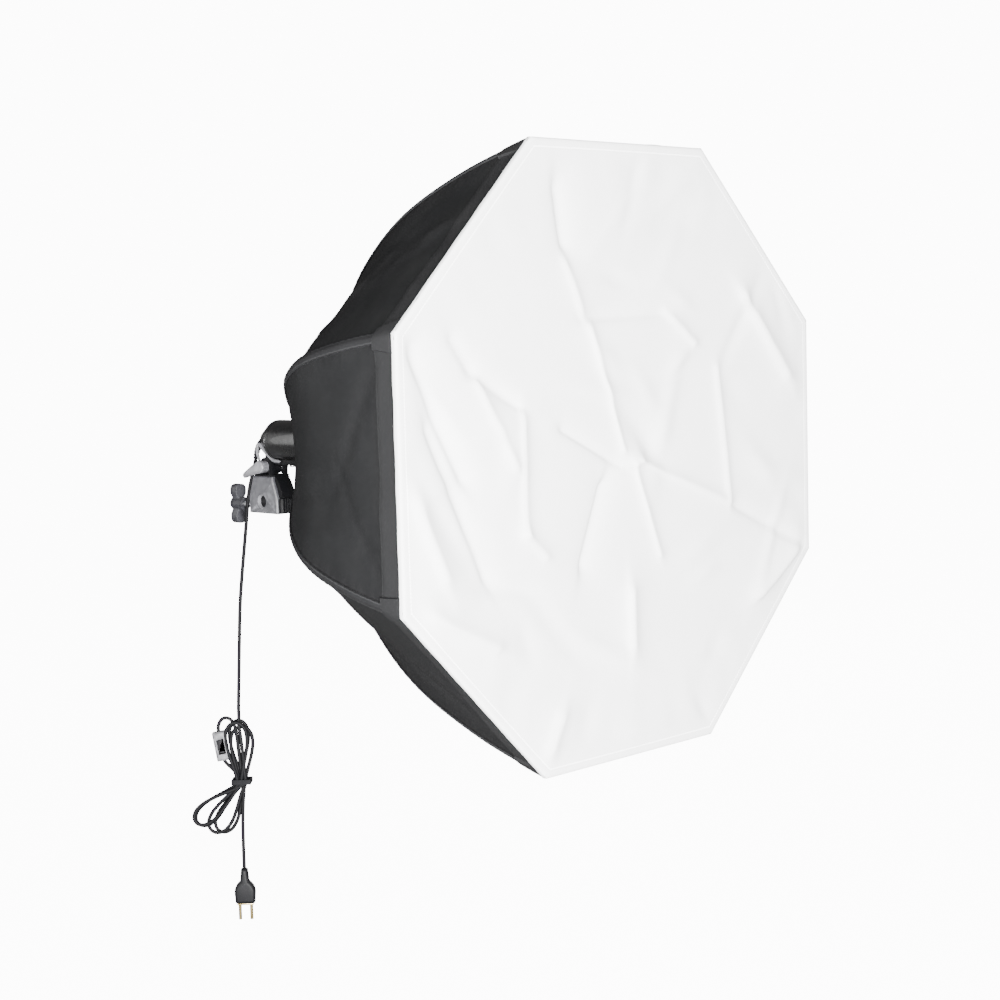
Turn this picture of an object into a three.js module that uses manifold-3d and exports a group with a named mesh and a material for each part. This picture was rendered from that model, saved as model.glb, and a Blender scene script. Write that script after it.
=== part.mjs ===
// Octagonal studio softbox on a tilting E27 lamp holder, in millimetres, +Z up.
// The front faces -Y. The origin is the mouth of the vertical 16 mm socket that takes a light
// stand's spigot. The lamp axis runs along Y, above the origin.
import * as THREE from 'three';
import { mergeVertices } from 'three/addons/utils/BufferGeometryUtils.js';
import Module from 'manifold-3d';

const wasm = await Module();
wasm.setup();

// ---------------------------------------------------------------- driving dimensions
const ACROSS_FLATS = 600;
const FACE_TO_STAND = 558;
const AXIS_Z = 87;
const RIBS = 8;
const SECTOR = (2 * Math.PI) / RIBS;
const HALF = SECTOR / 2;
const RIM_R = ACROSS_FLATS / 2 / Math.cos(HALF);
const GAP = 0.3;

const FABRIC = 1.4;
const PANEL_SAG = 7;
const SHELL_END = 424;
const ROD_R = 2.4;
const ROD_INSET = 5;
const PIVOT_DEPTH = 420;
const PIVOT_R = 55;
const WIRE_R = 1.5;

const BARREL_R = 24;
const BARREL_WALL = 3;
const BARREL_FRONT = 408;
const BARREL_REAR = 540;
const CAP_REAR = 566;
const CAP_REAR_R = 9;
const SCREW_SHELL_R = 13.6;

const TILT_Y = -5;
const TILT_Z = 56;
const BOLT_R = 3;
const EAR_R = 11;
const TONGUE_HALF = 5;
const EAR_IN = 6.9;
const EAR_OUT = 12.5;
const EAR_CLEARANCE = 1.6;

const BLOCK_HALF = 14;
const BLOCK_TOP = 44;
const SPIGOT_R = 8.15;
const SPIGOT_DEPTH = 38;
const CROSS_R = 8.5;
const CROSS_Y = 3;
const CROSS_Z = 14;
const CLAMP_Z = 8;
const CLAMP_SCREW_R = 4;

const CORD_R = 2.25;
const HANK_X = -18;
const HANK_Y = 59;
const HANK_TURN = 2.3515;
const HANK_THICK = 14;

// ---------------------------------------------------------------- finishes
const finish = (color, roughness, metalness) =>
  new THREE.MeshStandardMaterial({ color, roughness, metalness });
const blackCloth = finish(0x2b2b2c, 0.85, 0);
const whiteCloth = finish(0xf2f2f0, 0.8, 0);
const blackGloss = finish(0x1b1b1a, 0.25, 0);
const blackPlastic = finish(0x1d1d20, 0.5, 0);
const greyCasting = finish(0xb2b2b6, 0.45, 0);
const steel = finish(0xa8abae, 0.3, 1);
const fibreRod = finish(0x8d8f90, 0.4, 0.6);
const brass = finish(0xb59a5a, 0.35, 1);
const ceramic = finish(0xe8e6de, 0.4, 0);
const opal = finish(0xfbfaf4, 0.35, 0);
const blackRubber = finish(0x18181a, 0.6, 0);

const softbox = new THREE.Group();

// ---------------------------------------------------------------- solid helpers

// A copy with shared corners, no collapsed triangles and its faces pointing out.
function tidied(geometry) {
  const bare = geometry.clone();
  bare.deleteAttribute('normal');
  bare.deleteAttribute('uv');
  const merged = mergeVertices(bare, 1e-4);
  const p = merged.attributes.position;
  const kept = [];
  let volume = 0;
  const a = new THREE.Vector3();
  const b = new THREE.Vector3();
  const c = new THREE.Vector3();
  for (let i = 0; i < merged.index.count; i += 3) {
    const [u, v, w] = [0, 1, 2].map((k) => merged.index.getX(i + k));
    if (u !== v && v !== w && w !== u) {
      kept.push([u, v, w]);
      a.fromBufferAttribute(p, u);
      b.fromBufferAttribute(p, v);
      c.fromBufferAttribute(p, w);
      volume += a.dot(b.cross(c));
    }
  }
  if (volume < 0) kept.forEach((t) => t.reverse());
  merged.setIndex(kept.flat());
  merged.computeVertexNormals();
  return merged;
}

function toSolid(geometry) {
  const g = tidied(geometry);
  return new wasm.Manifold(new wasm.Mesh({
    numProp: 3,
    vertProperties: Float32Array.from(g.attributes.position.array),
    triVerts: Uint32Array.from(g.index.array),
  }));
}

function fromSolid(solid) {
  const mesh = solid.getMesh();
  const g = new THREE.BufferGeometry();
  g.setAttribute('position', new THREE.BufferAttribute(Float32Array.from(mesh.vertProperties), 3));
  g.setIndex([...mesh.triVerts]);
  g.computeVertexNormals();
  return g;
}

const join = (first, ...rest) =>
  fromSolid(rest.reduce((sum, g) => sum.add(toSolid(g)), toSolid(first)));
const cut = (base, ...tools) =>
  fromSolid(tools.reduce((rest, g) => rest.subtract(toSolid(g)), toSolid(base)));

function add(name, geometry, material, parent = softbox) {
  const mesh = new THREE.Mesh(tidied(geometry), material);
  mesh.name = name;
  parent.add(mesh);
  return mesh;
}

// ---------------------------------------------------------------- shape helpers

const depthY = (depth) => depth - FACE_TO_STAND;

// A body turned about the lamp axis, from [radius, depth] pairs behind the front face.
function turned(pairs, segments = 32, close = true) {
  const loop = close ? [...pairs, pairs[0]] : pairs;
  const points = loop.map(([r, depth]) => new THREE.Vector2(r, depthY(depth)));
  return new THREE.LatheGeometry(points, segments).translate(0, 0, AXIS_Z);
}

function rodX(radius, x0, x1, y, z, sides = 24) {
  return new THREE.CylinderGeometry(radius, radius, x1 - x0, sides)
    .rotateZ(Math.PI / 2)
    .translate((x0 + x1) / 2, y, z);
}

function rodY(radius, y0, y1, x, z, sides = 24) {
  return new THREE.CylinderGeometry(radius, radius, y1 - y0, sides)
    .translate(x, (y0 + y1) / 2, z);
}

function rodZ(radius, z0, z1, x, y, sides = 24) {
  return new THREE.CylinderGeometry(radius, radius, z1 - z0, sides)
    .rotateX(Math.PI / 2)
    .translate(x, y, (z0 + z1) / 2);
}

// An outline in the Y-Z plane, extruded from x0 to x1, with a small bevel on its two ends.
function sidePlate(shape, x0, x1, bevel = 0) {
  const toSide = new THREE.Matrix4().makeBasis(
    new THREE.Vector3(0, 1, 0),
    new THREE.Vector3(0, 0, 1),
    new THREE.Vector3(1, 0, 0),
  );
  const g = new THREE.ExtrudeGeometry(shape, {
    depth: x1 - x0 - 2 * bevel,
    bevelEnabled: bevel > 0,
    bevelSize: bevel,
    bevelThickness: bevel,
    bevelOffset: -bevel,
    bevelSegments: 1,
    curveSegments: 8,
  });
  return g.applyMatrix4(toSide).translate(x0 + bevel, 0, 0);
}

const polygon = (pairs) => new THREE.Shape(pairs.map(([x, y]) => new THREE.Vector2(x, y)));

function roundSection(radius, sides) {
  const corners = [];
  for (let i = 0; i < sides; i += 1) {
    const turn = (2 * Math.PI * i) / sides;
    corners.push([radius * Math.cos(turn), radius * Math.sin(turn)]);
  }
  return polygon(corners);
}

function tubeAlong(curve, radius, sides, steps) {
  return new THREE.ExtrudeGeometry(roundSection(radius, sides), {
    steps,
    bevelEnabled: false,
    extrudePath: curve,
  });
}

const curveOf = (points) =>
  new THREE.CatmullRomCurve3(points.map((p) => new THREE.Vector3(...p)), false, 'centripetal');

// Rings of equal count joined one to the next. Point j of an end ring faces point n - 1 - j.
function lofted(rings) {
  const n = rings[0].length;
  const positions = rings.flat().flatMap((p) => [p.x, p.y, p.z]);
  const index = [];
  for (let i = 0; i + 1 < rings.length; i += 1) {
    for (let j = 0; j < n; j += 1) {
      const k = (j + 1) % n;
      const [a, b, c, d] = [i * n + j, i * n + k, (i + 1) * n + k, (i + 1) * n + j];
      index.push(a, b, c, a, c, d);
    }
  }
  for (const [base, flip] of [[0, false], [(rings.length - 1) * n, true]]) {
    for (let j = 0; j < n / 2 - 1; j += 1) {
      const quad = [base + j, base + n - 1 - j, base + n - 2 - j, base + j + 1];
      if (flip) quad.reverse();
      index.push(quad[0], quad[1], quad[2], quad[0], quad[2], quad[3]);
    }
  }
  const g = new THREE.BufferGeometry();
  g.setAttribute('position', new THREE.Float32BufferAttribute(positions, 3));
  g.setIndex(index);
  return g;
}

// ---------------------------------------------------------------- shell, ribs and diffuser

// The shell's profile over a rib: [depth behind the front face, radius from the lamp axis].
const profile = new THREE.SplineCurve([
  [0, RIM_R], [100, 299], [200, 262], [278, 215], [340, 160], [390, 106], [SHELL_END, 68],
].map(([depth, r]) => new THREE.Vector2(depth, r)));

// A point of the profile at t from 0 to 1, moved inward along its own normal.
function profileAt(t, inset) {
  const p = profile.getPoint(t);
  const along = profile.getTangent(t);
  return new THREE.Vector2(p.x + along.y * inset, p.y - along.x * inset);
}

// One corner of the shell round a rib: half a panel either side, in the rib's own frame with
// the rib along +X. across runs from -1 to 1 between the two mid-panel seams.
function shellPoint(t, across, inset) {
  const p = profileAt(t, inset);
  const side = Math.abs(across);
  const middle = p.y * Math.cos(HALF) - PANEL_SAG * Math.sin(Math.PI * t);
  const halfWidth = middle * Math.sin(HALF) - GAP;
  const x = p.y + (middle * Math.cos(HALF) - p.y) * side;
  return new THREE.Vector3(x, depthY(p.x), Math.sign(across) * halfWidth * side);
}

function goreGeometry() {
  const stations = 12;
  const acrossSteps = [-1, -0.5, 0, 0.5, 1];
  const rings = [];
  for (let i = 0; i <= stations; i += 1) {
    const t = i / stations;
    const outer = acrossSteps.map((s) => shellPoint(t, s, 0));
    const inner = acrossSteps.map((s) => shellPoint(t, s, FABRIC)).reverse();
    rings.push([...outer, ...inner]);
  }
  return lofted(rings);
}

function ribGeometry() {
  const points = [[PIVOT_R + 1, depthY(PIVOT_DEPTH - 1), 0]];
  for (const t of [0.93, 0.8, 0.66, 0.5, 0.33, 0.17, 0.03]) {
    const p = profileAt(t, ROD_INSET);
    points.push([p.y, depthY(p.x), 0]);
  }
  const rod = tubeAlong(curveOf(points), ROD_R, 6, 18);
  const eye = rodZ(4, -2.6, 2.6, PIVOT_R, depthY(PIVOT_DEPTH), 16);
  const hole = rodZ(WIRE_R + 0.5, -6, 6, PIVOT_R, depthY(PIVOT_DEPTH), 12);
  return cut(join(rod, eye), hole);
}

function tipGeometry() {
  const p = profileAt(0.022, ROD_INSET);
  return new THREE.SphereGeometry(3.4, 8, 6).translate(p.y, depthY(p.x) - 2.2, 0);
}

const gore = goreGeometry();
const rib = ribGeometry();
const ROD_FIT = 1.14;
const tip = cut(tipGeometry(), ribGeometry().scale(1, 1, ROD_FIT));

for (let k = 0; k < RIBS; k += 1) {
  const around = new THREE.Group();
  around.position.set(0, 0, AXIS_Z);
  around.rotation.y = -(HALF + k * SECTOR);
  softbox.add(around);
  add(`rib_${k + 1}`, rib, fibreRod, around);
  add(`rib_tip_${k + 1}`, tip, blackPlastic, around);
  add(`shell_gore_${k + 1}`, gore, blackCloth, around);
}

const DIFFUSER_THICK = 2;
const diffuserOutline = polygon(Array.from({ length: RIBS }, (unused, k) => [
  RIM_R * Math.cos(HALF + k * SECTOR),
  RIM_R * Math.sin(HALF + k * SECTOR),
]));
add('diffuser', new THREE.ExtrudeGeometry(diffuserOutline, {
  depth: DIFFUSER_THICK,
  bevelEnabled: false,
}).rotateX(Math.PI / 2).translate(0, depthY(-1), AXIS_Z), whiteCloth);

// ---------------------------------------------------------------- hub

const EAR_TURN = 0.14;
const HUB_R = 49;
const HUB_EAR_R = 58.5;

// A round plate with an ear between each two ribs. The ears grip the wire ring.
function hubPlate(depth, thickness) {
  const shape = new THREE.Shape();
  for (let k = 0; k < RIBS; k += 1) {
    const middle = k * SECTOR;
    for (const [radius, turn] of [
      [HUB_R, -EAR_TURN - 0.03], [HUB_EAR_R, -EAR_TURN], [HUB_EAR_R, 0],
      [HUB_EAR_R, EAR_TURN], [HUB_R, EAR_TURN + 0.03],
    ]) {
      const x = radius * Math.cos(middle + turn);
      const y = radius * Math.sin(middle + turn);
      if (k === 0 && shape.curves.length === 0 && turn < -EAR_TURN) shape.moveTo(x, y);
      else shape.lineTo(x, y);
    }
  }
  const hole = new THREE.Path();
  hole.absarc(0, 0, BARREL_R + GAP, 0, 2 * Math.PI, true);
  shape.holes.push(hole);
  const g = new THREE.ExtrudeGeometry(shape, {
    depth: thickness,
    bevelEnabled: false,
    curveSegments: 16,
  });
  return g.rotateX(-Math.PI / 2).translate(0, depthY(depth), AXIS_Z);
}

add('hub_plate_front', hubPlate(414, 4), steel);
add('hub_plate_rear', hubPlate(422, 4), steel);
add('rib_pivot_ring', new THREE.TorusGeometry(PIVOT_R, WIRE_R, 6, 48)
  .rotateX(Math.PI / 2)
  .translate(0, depthY(PIVOT_DEPTH), AXIS_Z), steel);
add('lock_ring', turned([
  [BARREL_R + GAP, 426.5], [33, 426.5], [33, 432.5], [31.5, 434], [BARREL_R + GAP, 434],
]), blackPlastic);
add('neck_cuff', turned([
  [65.5, 426.5], [66.5, 431], [60, 438], [36, 446], [29, 455],
  [BARREL_R + GAP + 0.4, 455], [BARREL_R + GAP + 0.4, 453.8], [27.6, 453.8], [34.6, 444.4],
  [59, 436.4], [64.6, 430.4], [64, 426.5],
], 24), blackCloth);

// ---------------------------------------------------------------- lamp holder

const ARM_SCREW_Y = -41;
const ARM_SCREW_R = 2;
const armScrewHole = rodZ(ARM_SCREW_R + GAP, 40, AXIS_Z - 10, 0, ARM_SCREW_Y, 12);
const barrelIn = BARREL_R - BARREL_WALL;

add('holder_shell', cut(turned([
  [barrelIn, BARREL_FRONT], [29, BARREL_FRONT], [29, 413.5], [BARREL_R, 413.5],
  [BARREL_R, BARREL_REAR], [barrelIn, BARREL_REAR],
], 40), armScrewHole), blackGloss);
add('rear_cap', turned([
  [BARREL_R, BARREL_REAR + GAP], [CAP_REAR_R + 1, CAP_REAR - 1.5], [CAP_REAR_R - 0.5, CAP_REAR],
  [3.2, CAP_REAR], [3.2, CAP_REAR - 3], [CAP_REAR_R - 3, CAP_REAR - 3],
  [barrelIn, BARREL_REAR + GAP],
], 40), blackGloss);
add('socket_insulator', turned([
  [SCREW_SHELL_R + 1.2, 416], [barrelIn - GAP, 416], [barrelIn - GAP, 458], [6, 458],
  [6, 454], [SCREW_SHELL_R + 1.2, 454],
]), ceramic);
add('socket_screw_shell', turned([
  [SCREW_SHELL_R, 424], [SCREW_SHELL_R + 0.8, 424], [SCREW_SHELL_R + 0.8, 450],
  [SCREW_SHELL_R, 450],
]), brass);
add('centre_contact', turned([
  [0, 451.5], [4, 451.5], [4, 463], [0, 463],
], 16, false), brass);

// ---------------------------------------------------------------- bulb

add('bulb_cap', turned([
  [0, 423], [13, 423], [13.1, 444], [9, 448.5], [4, 449], [4, 451], [0, 451],
], 24, false), brass);
add('bulb_housing', turned([
  [0, 352.3], [29, 352.3], [28, 365], [20, 398], [14.5, 412], [13.4, 420], [13.4, 422.7], [0, 422.7],
], 24, false), opal);

const GLOBE_R = 31;
const globeOutline = [[0, 289]];
for (let i = 1; i <= 8; i += 1) {
  const turn = (i / 8) * (Math.PI * 0.62);
  globeOutline.push([GLOBE_R * Math.sin(turn), 289 + GLOBE_R * (1 - Math.cos(turn))]);
}
globeOutline.push([29, 352], [0, 352]);
add('bulb_globe', turned(globeOutline, 24, false), opal);

// ---------------------------------------------------------------- stand block

const blockOutline = polygon([
  [-26, 0], [27, 0], [27, 20], [20.5, 38], [19, BLOCK_TOP], [-18, BLOCK_TOP],
  [-19, 38], [-26, 18],
]);
add('stand_block', cut(
  sidePlate(blockOutline, -BLOCK_HALF, BLOCK_HALF, 1.5),
  rodZ(SPIGOT_R, -5, SPIGOT_DEPTH, 0, 0, 32),
  rodX(CROSS_R, -20, 20, CROSS_Y, CROSS_Z, 32),
  rodY(CLAMP_SCREW_R + GAP, CROSS_Y, 40, 0, CLAMP_Z, 16),
), greyCasting);

// The ribbed jaw on the block's front, with upright grip ridges.
const jawOutline = polygon([[-12, -27], [12, -27], [12, -31], [10, -33], [-10, -33], [-12, -31]]);
const RIDGE_PITCH = 3.4;
const jawBody = new THREE.ExtrudeGeometry(jawOutline, { depth: 17.5, bevelEnabled: false })
  .translate(0, 0.3, 1);
const ridgeGrooves = [-2, -1, 0, 1, 2].map((i) => rodZ(0.9, -2, 22, i * RIDGE_PITCH, -33, 8));
add('front_jaw', cut(jawBody, ...ridgeGrooves), blackPlastic);

add('clamp_screw', rodY(CLAMP_SCREW_R, CROSS_Y + CROSS_R - 0.2, 52, 0, CLAMP_Z, 16), steel);

// The wing knob: a round hub and two lobes, one above and one below it.
const KNOB_FRONT = 52.3;
const lobe = new THREE.Shape();
lobe.moveTo(-4.5, 5);
lobe.lineTo(-8, 12);
lobe.quadraticCurveTo(-9.5, 22, -4, 23.5);
lobe.quadraticCurveTo(0, 24.4, 4, 23.5);
lobe.quadraticCurveTo(9.5, 22, 8, 12);
lobe.lineTo(4.5, 5);
const lobeSolid = new THREE.ExtrudeGeometry(lobe, {
  depth: 9,
  bevelEnabled: true,
  bevelSize: 1.4,
  bevelThickness: 1.4,
  bevelOffset: -1.4,
  bevelSegments: 2,
  curveSegments: 5,
}).rotateX(Math.PI / 2);
const knobHub = rodY(8, KNOB_FRONT, KNOB_FRONT + 20, 0, CLAMP_Z, 20);
add('clamp_knob', join(
  knobHub,
  lobeSolid.clone().translate(0, KNOB_FRONT + 18, CLAMP_Z),
  lobeSolid.clone().rotateY(Math.PI).translate(0, KNOB_FRONT + 18, CLAMP_Z),
), greyCasting);

// ---------------------------------------------------------------- tilt joint

const ear = new THREE.Shape();
ear.moveTo(TILT_Y + 9.5, BLOCK_TOP + GAP);
ear.absarc(TILT_Y, TILT_Z, EAR_R, 0, Math.PI, false);
ear.lineTo(TILT_Y - EAR_R, BLOCK_TOP + GAP);
const knuckleStrip = polygon([
  [-18.4, 44.3], [-19.4, 38], [-26.4, 18.6], [-31, 18.8], [-31, 26], [-25, 38], [-18.4, 46],
]);
const kneeBase = polygon([[-18.6, 44.3], [4.5, 44.3], [4.5, 46], [-18.6, 46]]);
const boltHole = rodX(BOLT_R + GAP, -30, 30, TILT_Y, TILT_Z, 16);
const sweep = rodX(EAR_R - 0.7, -EAR_IN, EAR_IN, TILT_Y, TILT_Z, 24);
add('tilt_knuckle', cut(
  join(
    sidePlate(kneeBase, -EAR_OUT, EAR_OUT),
    sidePlate(ear, EAR_IN, EAR_OUT),
    sidePlate(ear, -EAR_OUT, -EAR_IN),
    sidePlate(knuckleStrip, -10, 10),
  ),
  boltHole,
  sweep,
), blackPlastic);
add('tilt_bolt', join(
  rodX(BOLT_R, -22, 17, TILT_Y, TILT_Z, 16),
  rodX(6.2, 13, 18, TILT_Y, TILT_Z, 6),
), steel);
for (const [name, side] of [['friction_washer_left', -1], ['friction_washer_right', 1]]) {
  const [inner, outer] = [TONGUE_HALF + GAP, EAR_IN - GAP].map((x) => x * side).sort((a, b) => a - b);
  add(name, cut(rodX(9, inner, outer, TILT_Y, TILT_Z, 24), boltHole), steel);
}

const lever = new THREE.Shape();
lever.moveTo(0, 7.5);
lever.quadraticCurveTo(14, 6.5, 31, 3.5);
lever.quadraticCurveTo(35, 1, 31.5, -2.5);
lever.quadraticCurveTo(14, -4, 0, -7.5);
lever.absarc(0, 0, 7.5, -Math.PI / 2, -1.45 * Math.PI, true);
const LEVER_TURN = -0.38;
const leverArm = sidePlate(lever, -23.5, -17.5, 1.2)
  .rotateX(LEVER_TURN)
  .translate(0, TILT_Y, TILT_Z);
add('tilt_lever', cut(
  join(leverArm, rodX(7, -19, -EAR_OUT - GAP, TILT_Y, TILT_Z, 20)),
  rodX(BOLT_R + GAP, -22.5, 0, TILT_Y, TILT_Z, 16),
), greyCasting);

// The arm: a saddle under the barrel and its rear cap, and a tongue down to the tilt bolt.
const saddle = polygon([
  [-58, 66], [-58, 59.5], [-56, 58.6], [-20, 58.6], [-9, 63.5], [2, 72.5], [8, 78],
  [6, 82], [-5, 82], [-18, 80], [-30, 66],
]);
const tongue = new THREE.Shape();
tongue.moveTo(4, 76);
tongue.lineTo(-22, 66);
tongue.lineTo(-24, 60);
tongue.absarc(TILT_Y, TILT_Z, 9.5, -Math.PI, 0, false);
const barrelSpace = turned([
  [0, 440], [BARREL_R + GAP, 440], [BARREL_R + GAP, BARREL_REAR],
  [CAP_REAR_R + 1 + GAP, CAP_REAR - 1.2], [CAP_REAR_R + 1 + GAP, CAP_REAR + 20],
  [0, CAP_REAR + 20],
], 40, false);
const EAR_SPACE_END = 20;
const earSpaceIn = TONGUE_HALF + 0.1;
const earSpace = rodX(EAR_R + EAR_CLEARANCE, -EAR_SPACE_END, -earSpaceIn, TILT_Y, TILT_Z, 32);
add('head_arm', cut(
  join(sidePlate(saddle, -9, 9), sidePlate(tongue, -TONGUE_HALF, TONGUE_HALF)),
  barrelSpace,
  boltHole,
  earSpace,
  earSpace.clone().translate(EAR_SPACE_END + earSpaceIn, 0, 0),
  rodZ(ARM_SCREW_R + GAP, 40, AXIS_Z - 10, 0, ARM_SCREW_Y, 12),
), greyCasting);
add('arm_screw', join(
  rodZ(ARM_SCREW_R, 57, 69, 0, ARM_SCREW_Y, 12),
  rodZ(3.8, 55.9, 58.3, 0, ARM_SCREW_Y, 16),
), steel);

// ---------------------------------------------------------------- cord

const reliefPath = curveOf([
  [0, 8.6, 86], [-0.1, 11, 85.9], [-1.2, 17, 82], [-3.2, 21, 74], [-4.6, 22.6, 64],
]);
const RELIEF_STEPS = 10;
const RELIEF_SIDES = 12;
function reliefGeometry() {
  const frames = reliefPath.computeFrenetFrames(RELIEF_STEPS, false);
  const rings = [];
  for (let i = 0; i <= RELIEF_STEPS; i += 1) {
    const t = i / RELIEF_STEPS;
    const centre = reliefPath.getPointAt(t);
    const radius = 4.6 - 1.5 * t;
    const ring = [];
    for (let j = 0; j < RELIEF_SIDES; j += 1) {
      const turn = (2 * Math.PI * (j + 0.5)) / RELIEF_SIDES;
      ring.push(centre.clone()
        .addScaledVector(frames.normals[i], radius * Math.cos(turn))
        .addScaledVector(frames.binormals[i], radius * Math.sin(turn)));
    }
    rings.push(ring);
  }
  return lofted(rings);
}
add('strain_relief', reliefGeometry(), blackRubber);

const dropRoute = [
  [-4.7, 22.7, 63.6], [-6, 24, 56], [-8.5, 26.8, 42], [-10.5, 29.8, 28], [-11.5, 32.3, 14],
  [-12, 34.3, 0], [-12.5, 37.3, -20], [-13, 41.5, -45], [-14, 47, -80], [-15, 51, -112],
  [-16, 54.5, -160], [-17, 57, -205], [-18, 58.6, -240], [-18, 59, -254],
];
add('cord_drop', tubeAlong(curveOf(dropRoute), CORD_R, 8, 44), blackRubber);

const tailRoute = [
  [-15.9, 56.9, -341], [-16.8, 58, -356], [-17.8, 59, -378], [-18.2, 59.4, -400],
  [-18.2, 59.6, -425], [-18.2, 59.6, -440],
];
add('cord_tail', tubeAlong(curveOf(tailRoute), CORD_R, 8, 16), blackRubber);

// The hank lies in an upright plane of its own: x runs sideways in it, y is up.
const hankPlane = new THREE.Group();
hankPlane.position.set(HANK_X, HANK_Y, 0);
hankPlane.rotation.set(Math.PI / 2, HANK_TURN, 0, 'ZXY');
softbox.add(hankPlane);

function hankPlate(shape, thickness, bevel = 0) {
  return new THREE.ExtrudeGeometry(shape, {
    depth: thickness - 2 * bevel,
    bevelEnabled: bevel > 0,
    bevelSize: bevel,
    bevelThickness: bevel,
    bevelOffset: -bevel,
    bevelSegments: 1,
    curveSegments: 5,
  }).translate(0, 0, -thickness / 2 + bevel);
}

const hank = new THREE.Shape();
hank.moveTo(-7, -256.5);
hank.quadraticCurveTo(0, -254.2, 7, -257);
hank.quadraticCurveTo(9, -285, 12, -309);
hank.quadraticCurveTo(9, -322, 6.5, -331);
hank.quadraticCurveTo(10, -343, 40, -367);
hank.quadraticCurveTo(64, -392, 58, -404);
hank.quadraticCurveTo(47, -413, 30, -414);
hank.quadraticCurveTo(12, -412, 8, -390);
hank.quadraticCurveTo(7, -362, 1, -341);
hank.lineTo(-8.5, -337);
hank.quadraticCurveTo(-11, -310, -12, -296);
hank.quadraticCurveTo(-11, -270, -8, -260);
add('cord_hank', hankPlate(hank, HANK_THICK, 3), blackRubber, hankPlane);

const tieOuter = polygon([[-13, -10], [11, -10], [11, 10], [-13, 10]]);
const tieHole = new THREE.Path([
  [-10.6, -7.4], [-10.6, 7.4], [9.2, 7.4], [9.2, -7.4],
].map(([x, y]) => new THREE.Vector2(x, y)));
tieOuter.holes.push(tieHole);
add('hank_tie', new THREE.ExtrudeGeometry(tieOuter, { depth: 6, bevelEnabled: false })
  .rotateX(-Math.PI / 2)
  .translate(0, -334, 0), greyCasting, hankPlane);

// ---------------------------------------------------------------- inline switch and plug

const SWITCH_X = 22.5;
const SWITCH_Y = -287;
const SWITCH_LEAN = 0.16;
const switchOutline = polygon([[-8, -18], [8, -18], [8, 18], [-8, 18]]);
const rockerSpace = new THREE.BoxGeometry(8, 17, 7).translate(0, 0, -6.5);
const switchGroup = new THREE.Group();
switchGroup.position.set(SWITCH_X, SWITCH_Y, 0);
switchGroup.rotation.z = -SWITCH_LEAN;
hankPlane.add(switchGroup);
add('switch_housing', cut(hankPlate(switchOutline, 13, 2), rockerSpace), greyCasting, switchGroup);
const rockerOutline = polygon([[-8, 0], [8, 0], [8, 2.4], [0, 1.2], [-8, 2.4]]);
add('switch_rocker', new THREE.ExtrudeGeometry(rockerOutline, { depth: 7, bevelEnabled: false })
  .translate(0, 0, -3.5)
  .rotateZ(Math.PI / 2)
  .rotateY(-Math.PI / 2)
  .translate(0, 0, -4.4), blackPlastic, switchGroup);

const PLUG_X = -18.2;
const PLUG_Y = 59.6;
const plugOutline = new THREE.Shape();
plugOutline.moveTo(-4, -440.4);
plugOutline.lineTo(4, -440.4);
plugOutline.lineTo(5.5, -456);
plugOutline.quadraticCurveTo(13, -462, 13, -470);
plugOutline.lineTo(12, -484);
plugOutline.lineTo(-12, -484);
plugOutline.lineTo(-13, -470);
plugOutline.quadraticCurveTo(-13, -462, -5.5, -456);
const plugPlane = new THREE.Group();
plugPlane.position.set(PLUG_X, PLUG_Y, 0);
plugPlane.rotation.set(Math.PI / 2, HANK_TURN, 0, 'ZXY');
softbox.add(plugPlane);
add('plug_body', hankPlate(plugOutline, 13, 2.5), blackPlastic, plugPlane);
const pin = new THREE.CylinderGeometry(2, 2, 19, 12);
add('plug_pins', join(
  new THREE.BoxGeometry(20, 1.6, 7).translate(0, -485.1, 0),
  pin.clone().translate(-7, -495, 0),
  pin.clone().translate(7, -495, 0),
), brass, plugPlane);

export default softbox;
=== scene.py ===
"""An octagonal studio softbox on its tilting lamp holder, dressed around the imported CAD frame.

Lengths are metres in the row frame: +Z up, the softbox's face towards -Y, the origin at the
mouth of the bore that takes a light stand's spigot, the lamp axis along Y above it.
"""
import logging
from dataclasses import dataclass
from enum import StrEnum

import bmesh
import bpy
import numpy as np
from mathutils import Matrix, Vector


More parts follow.
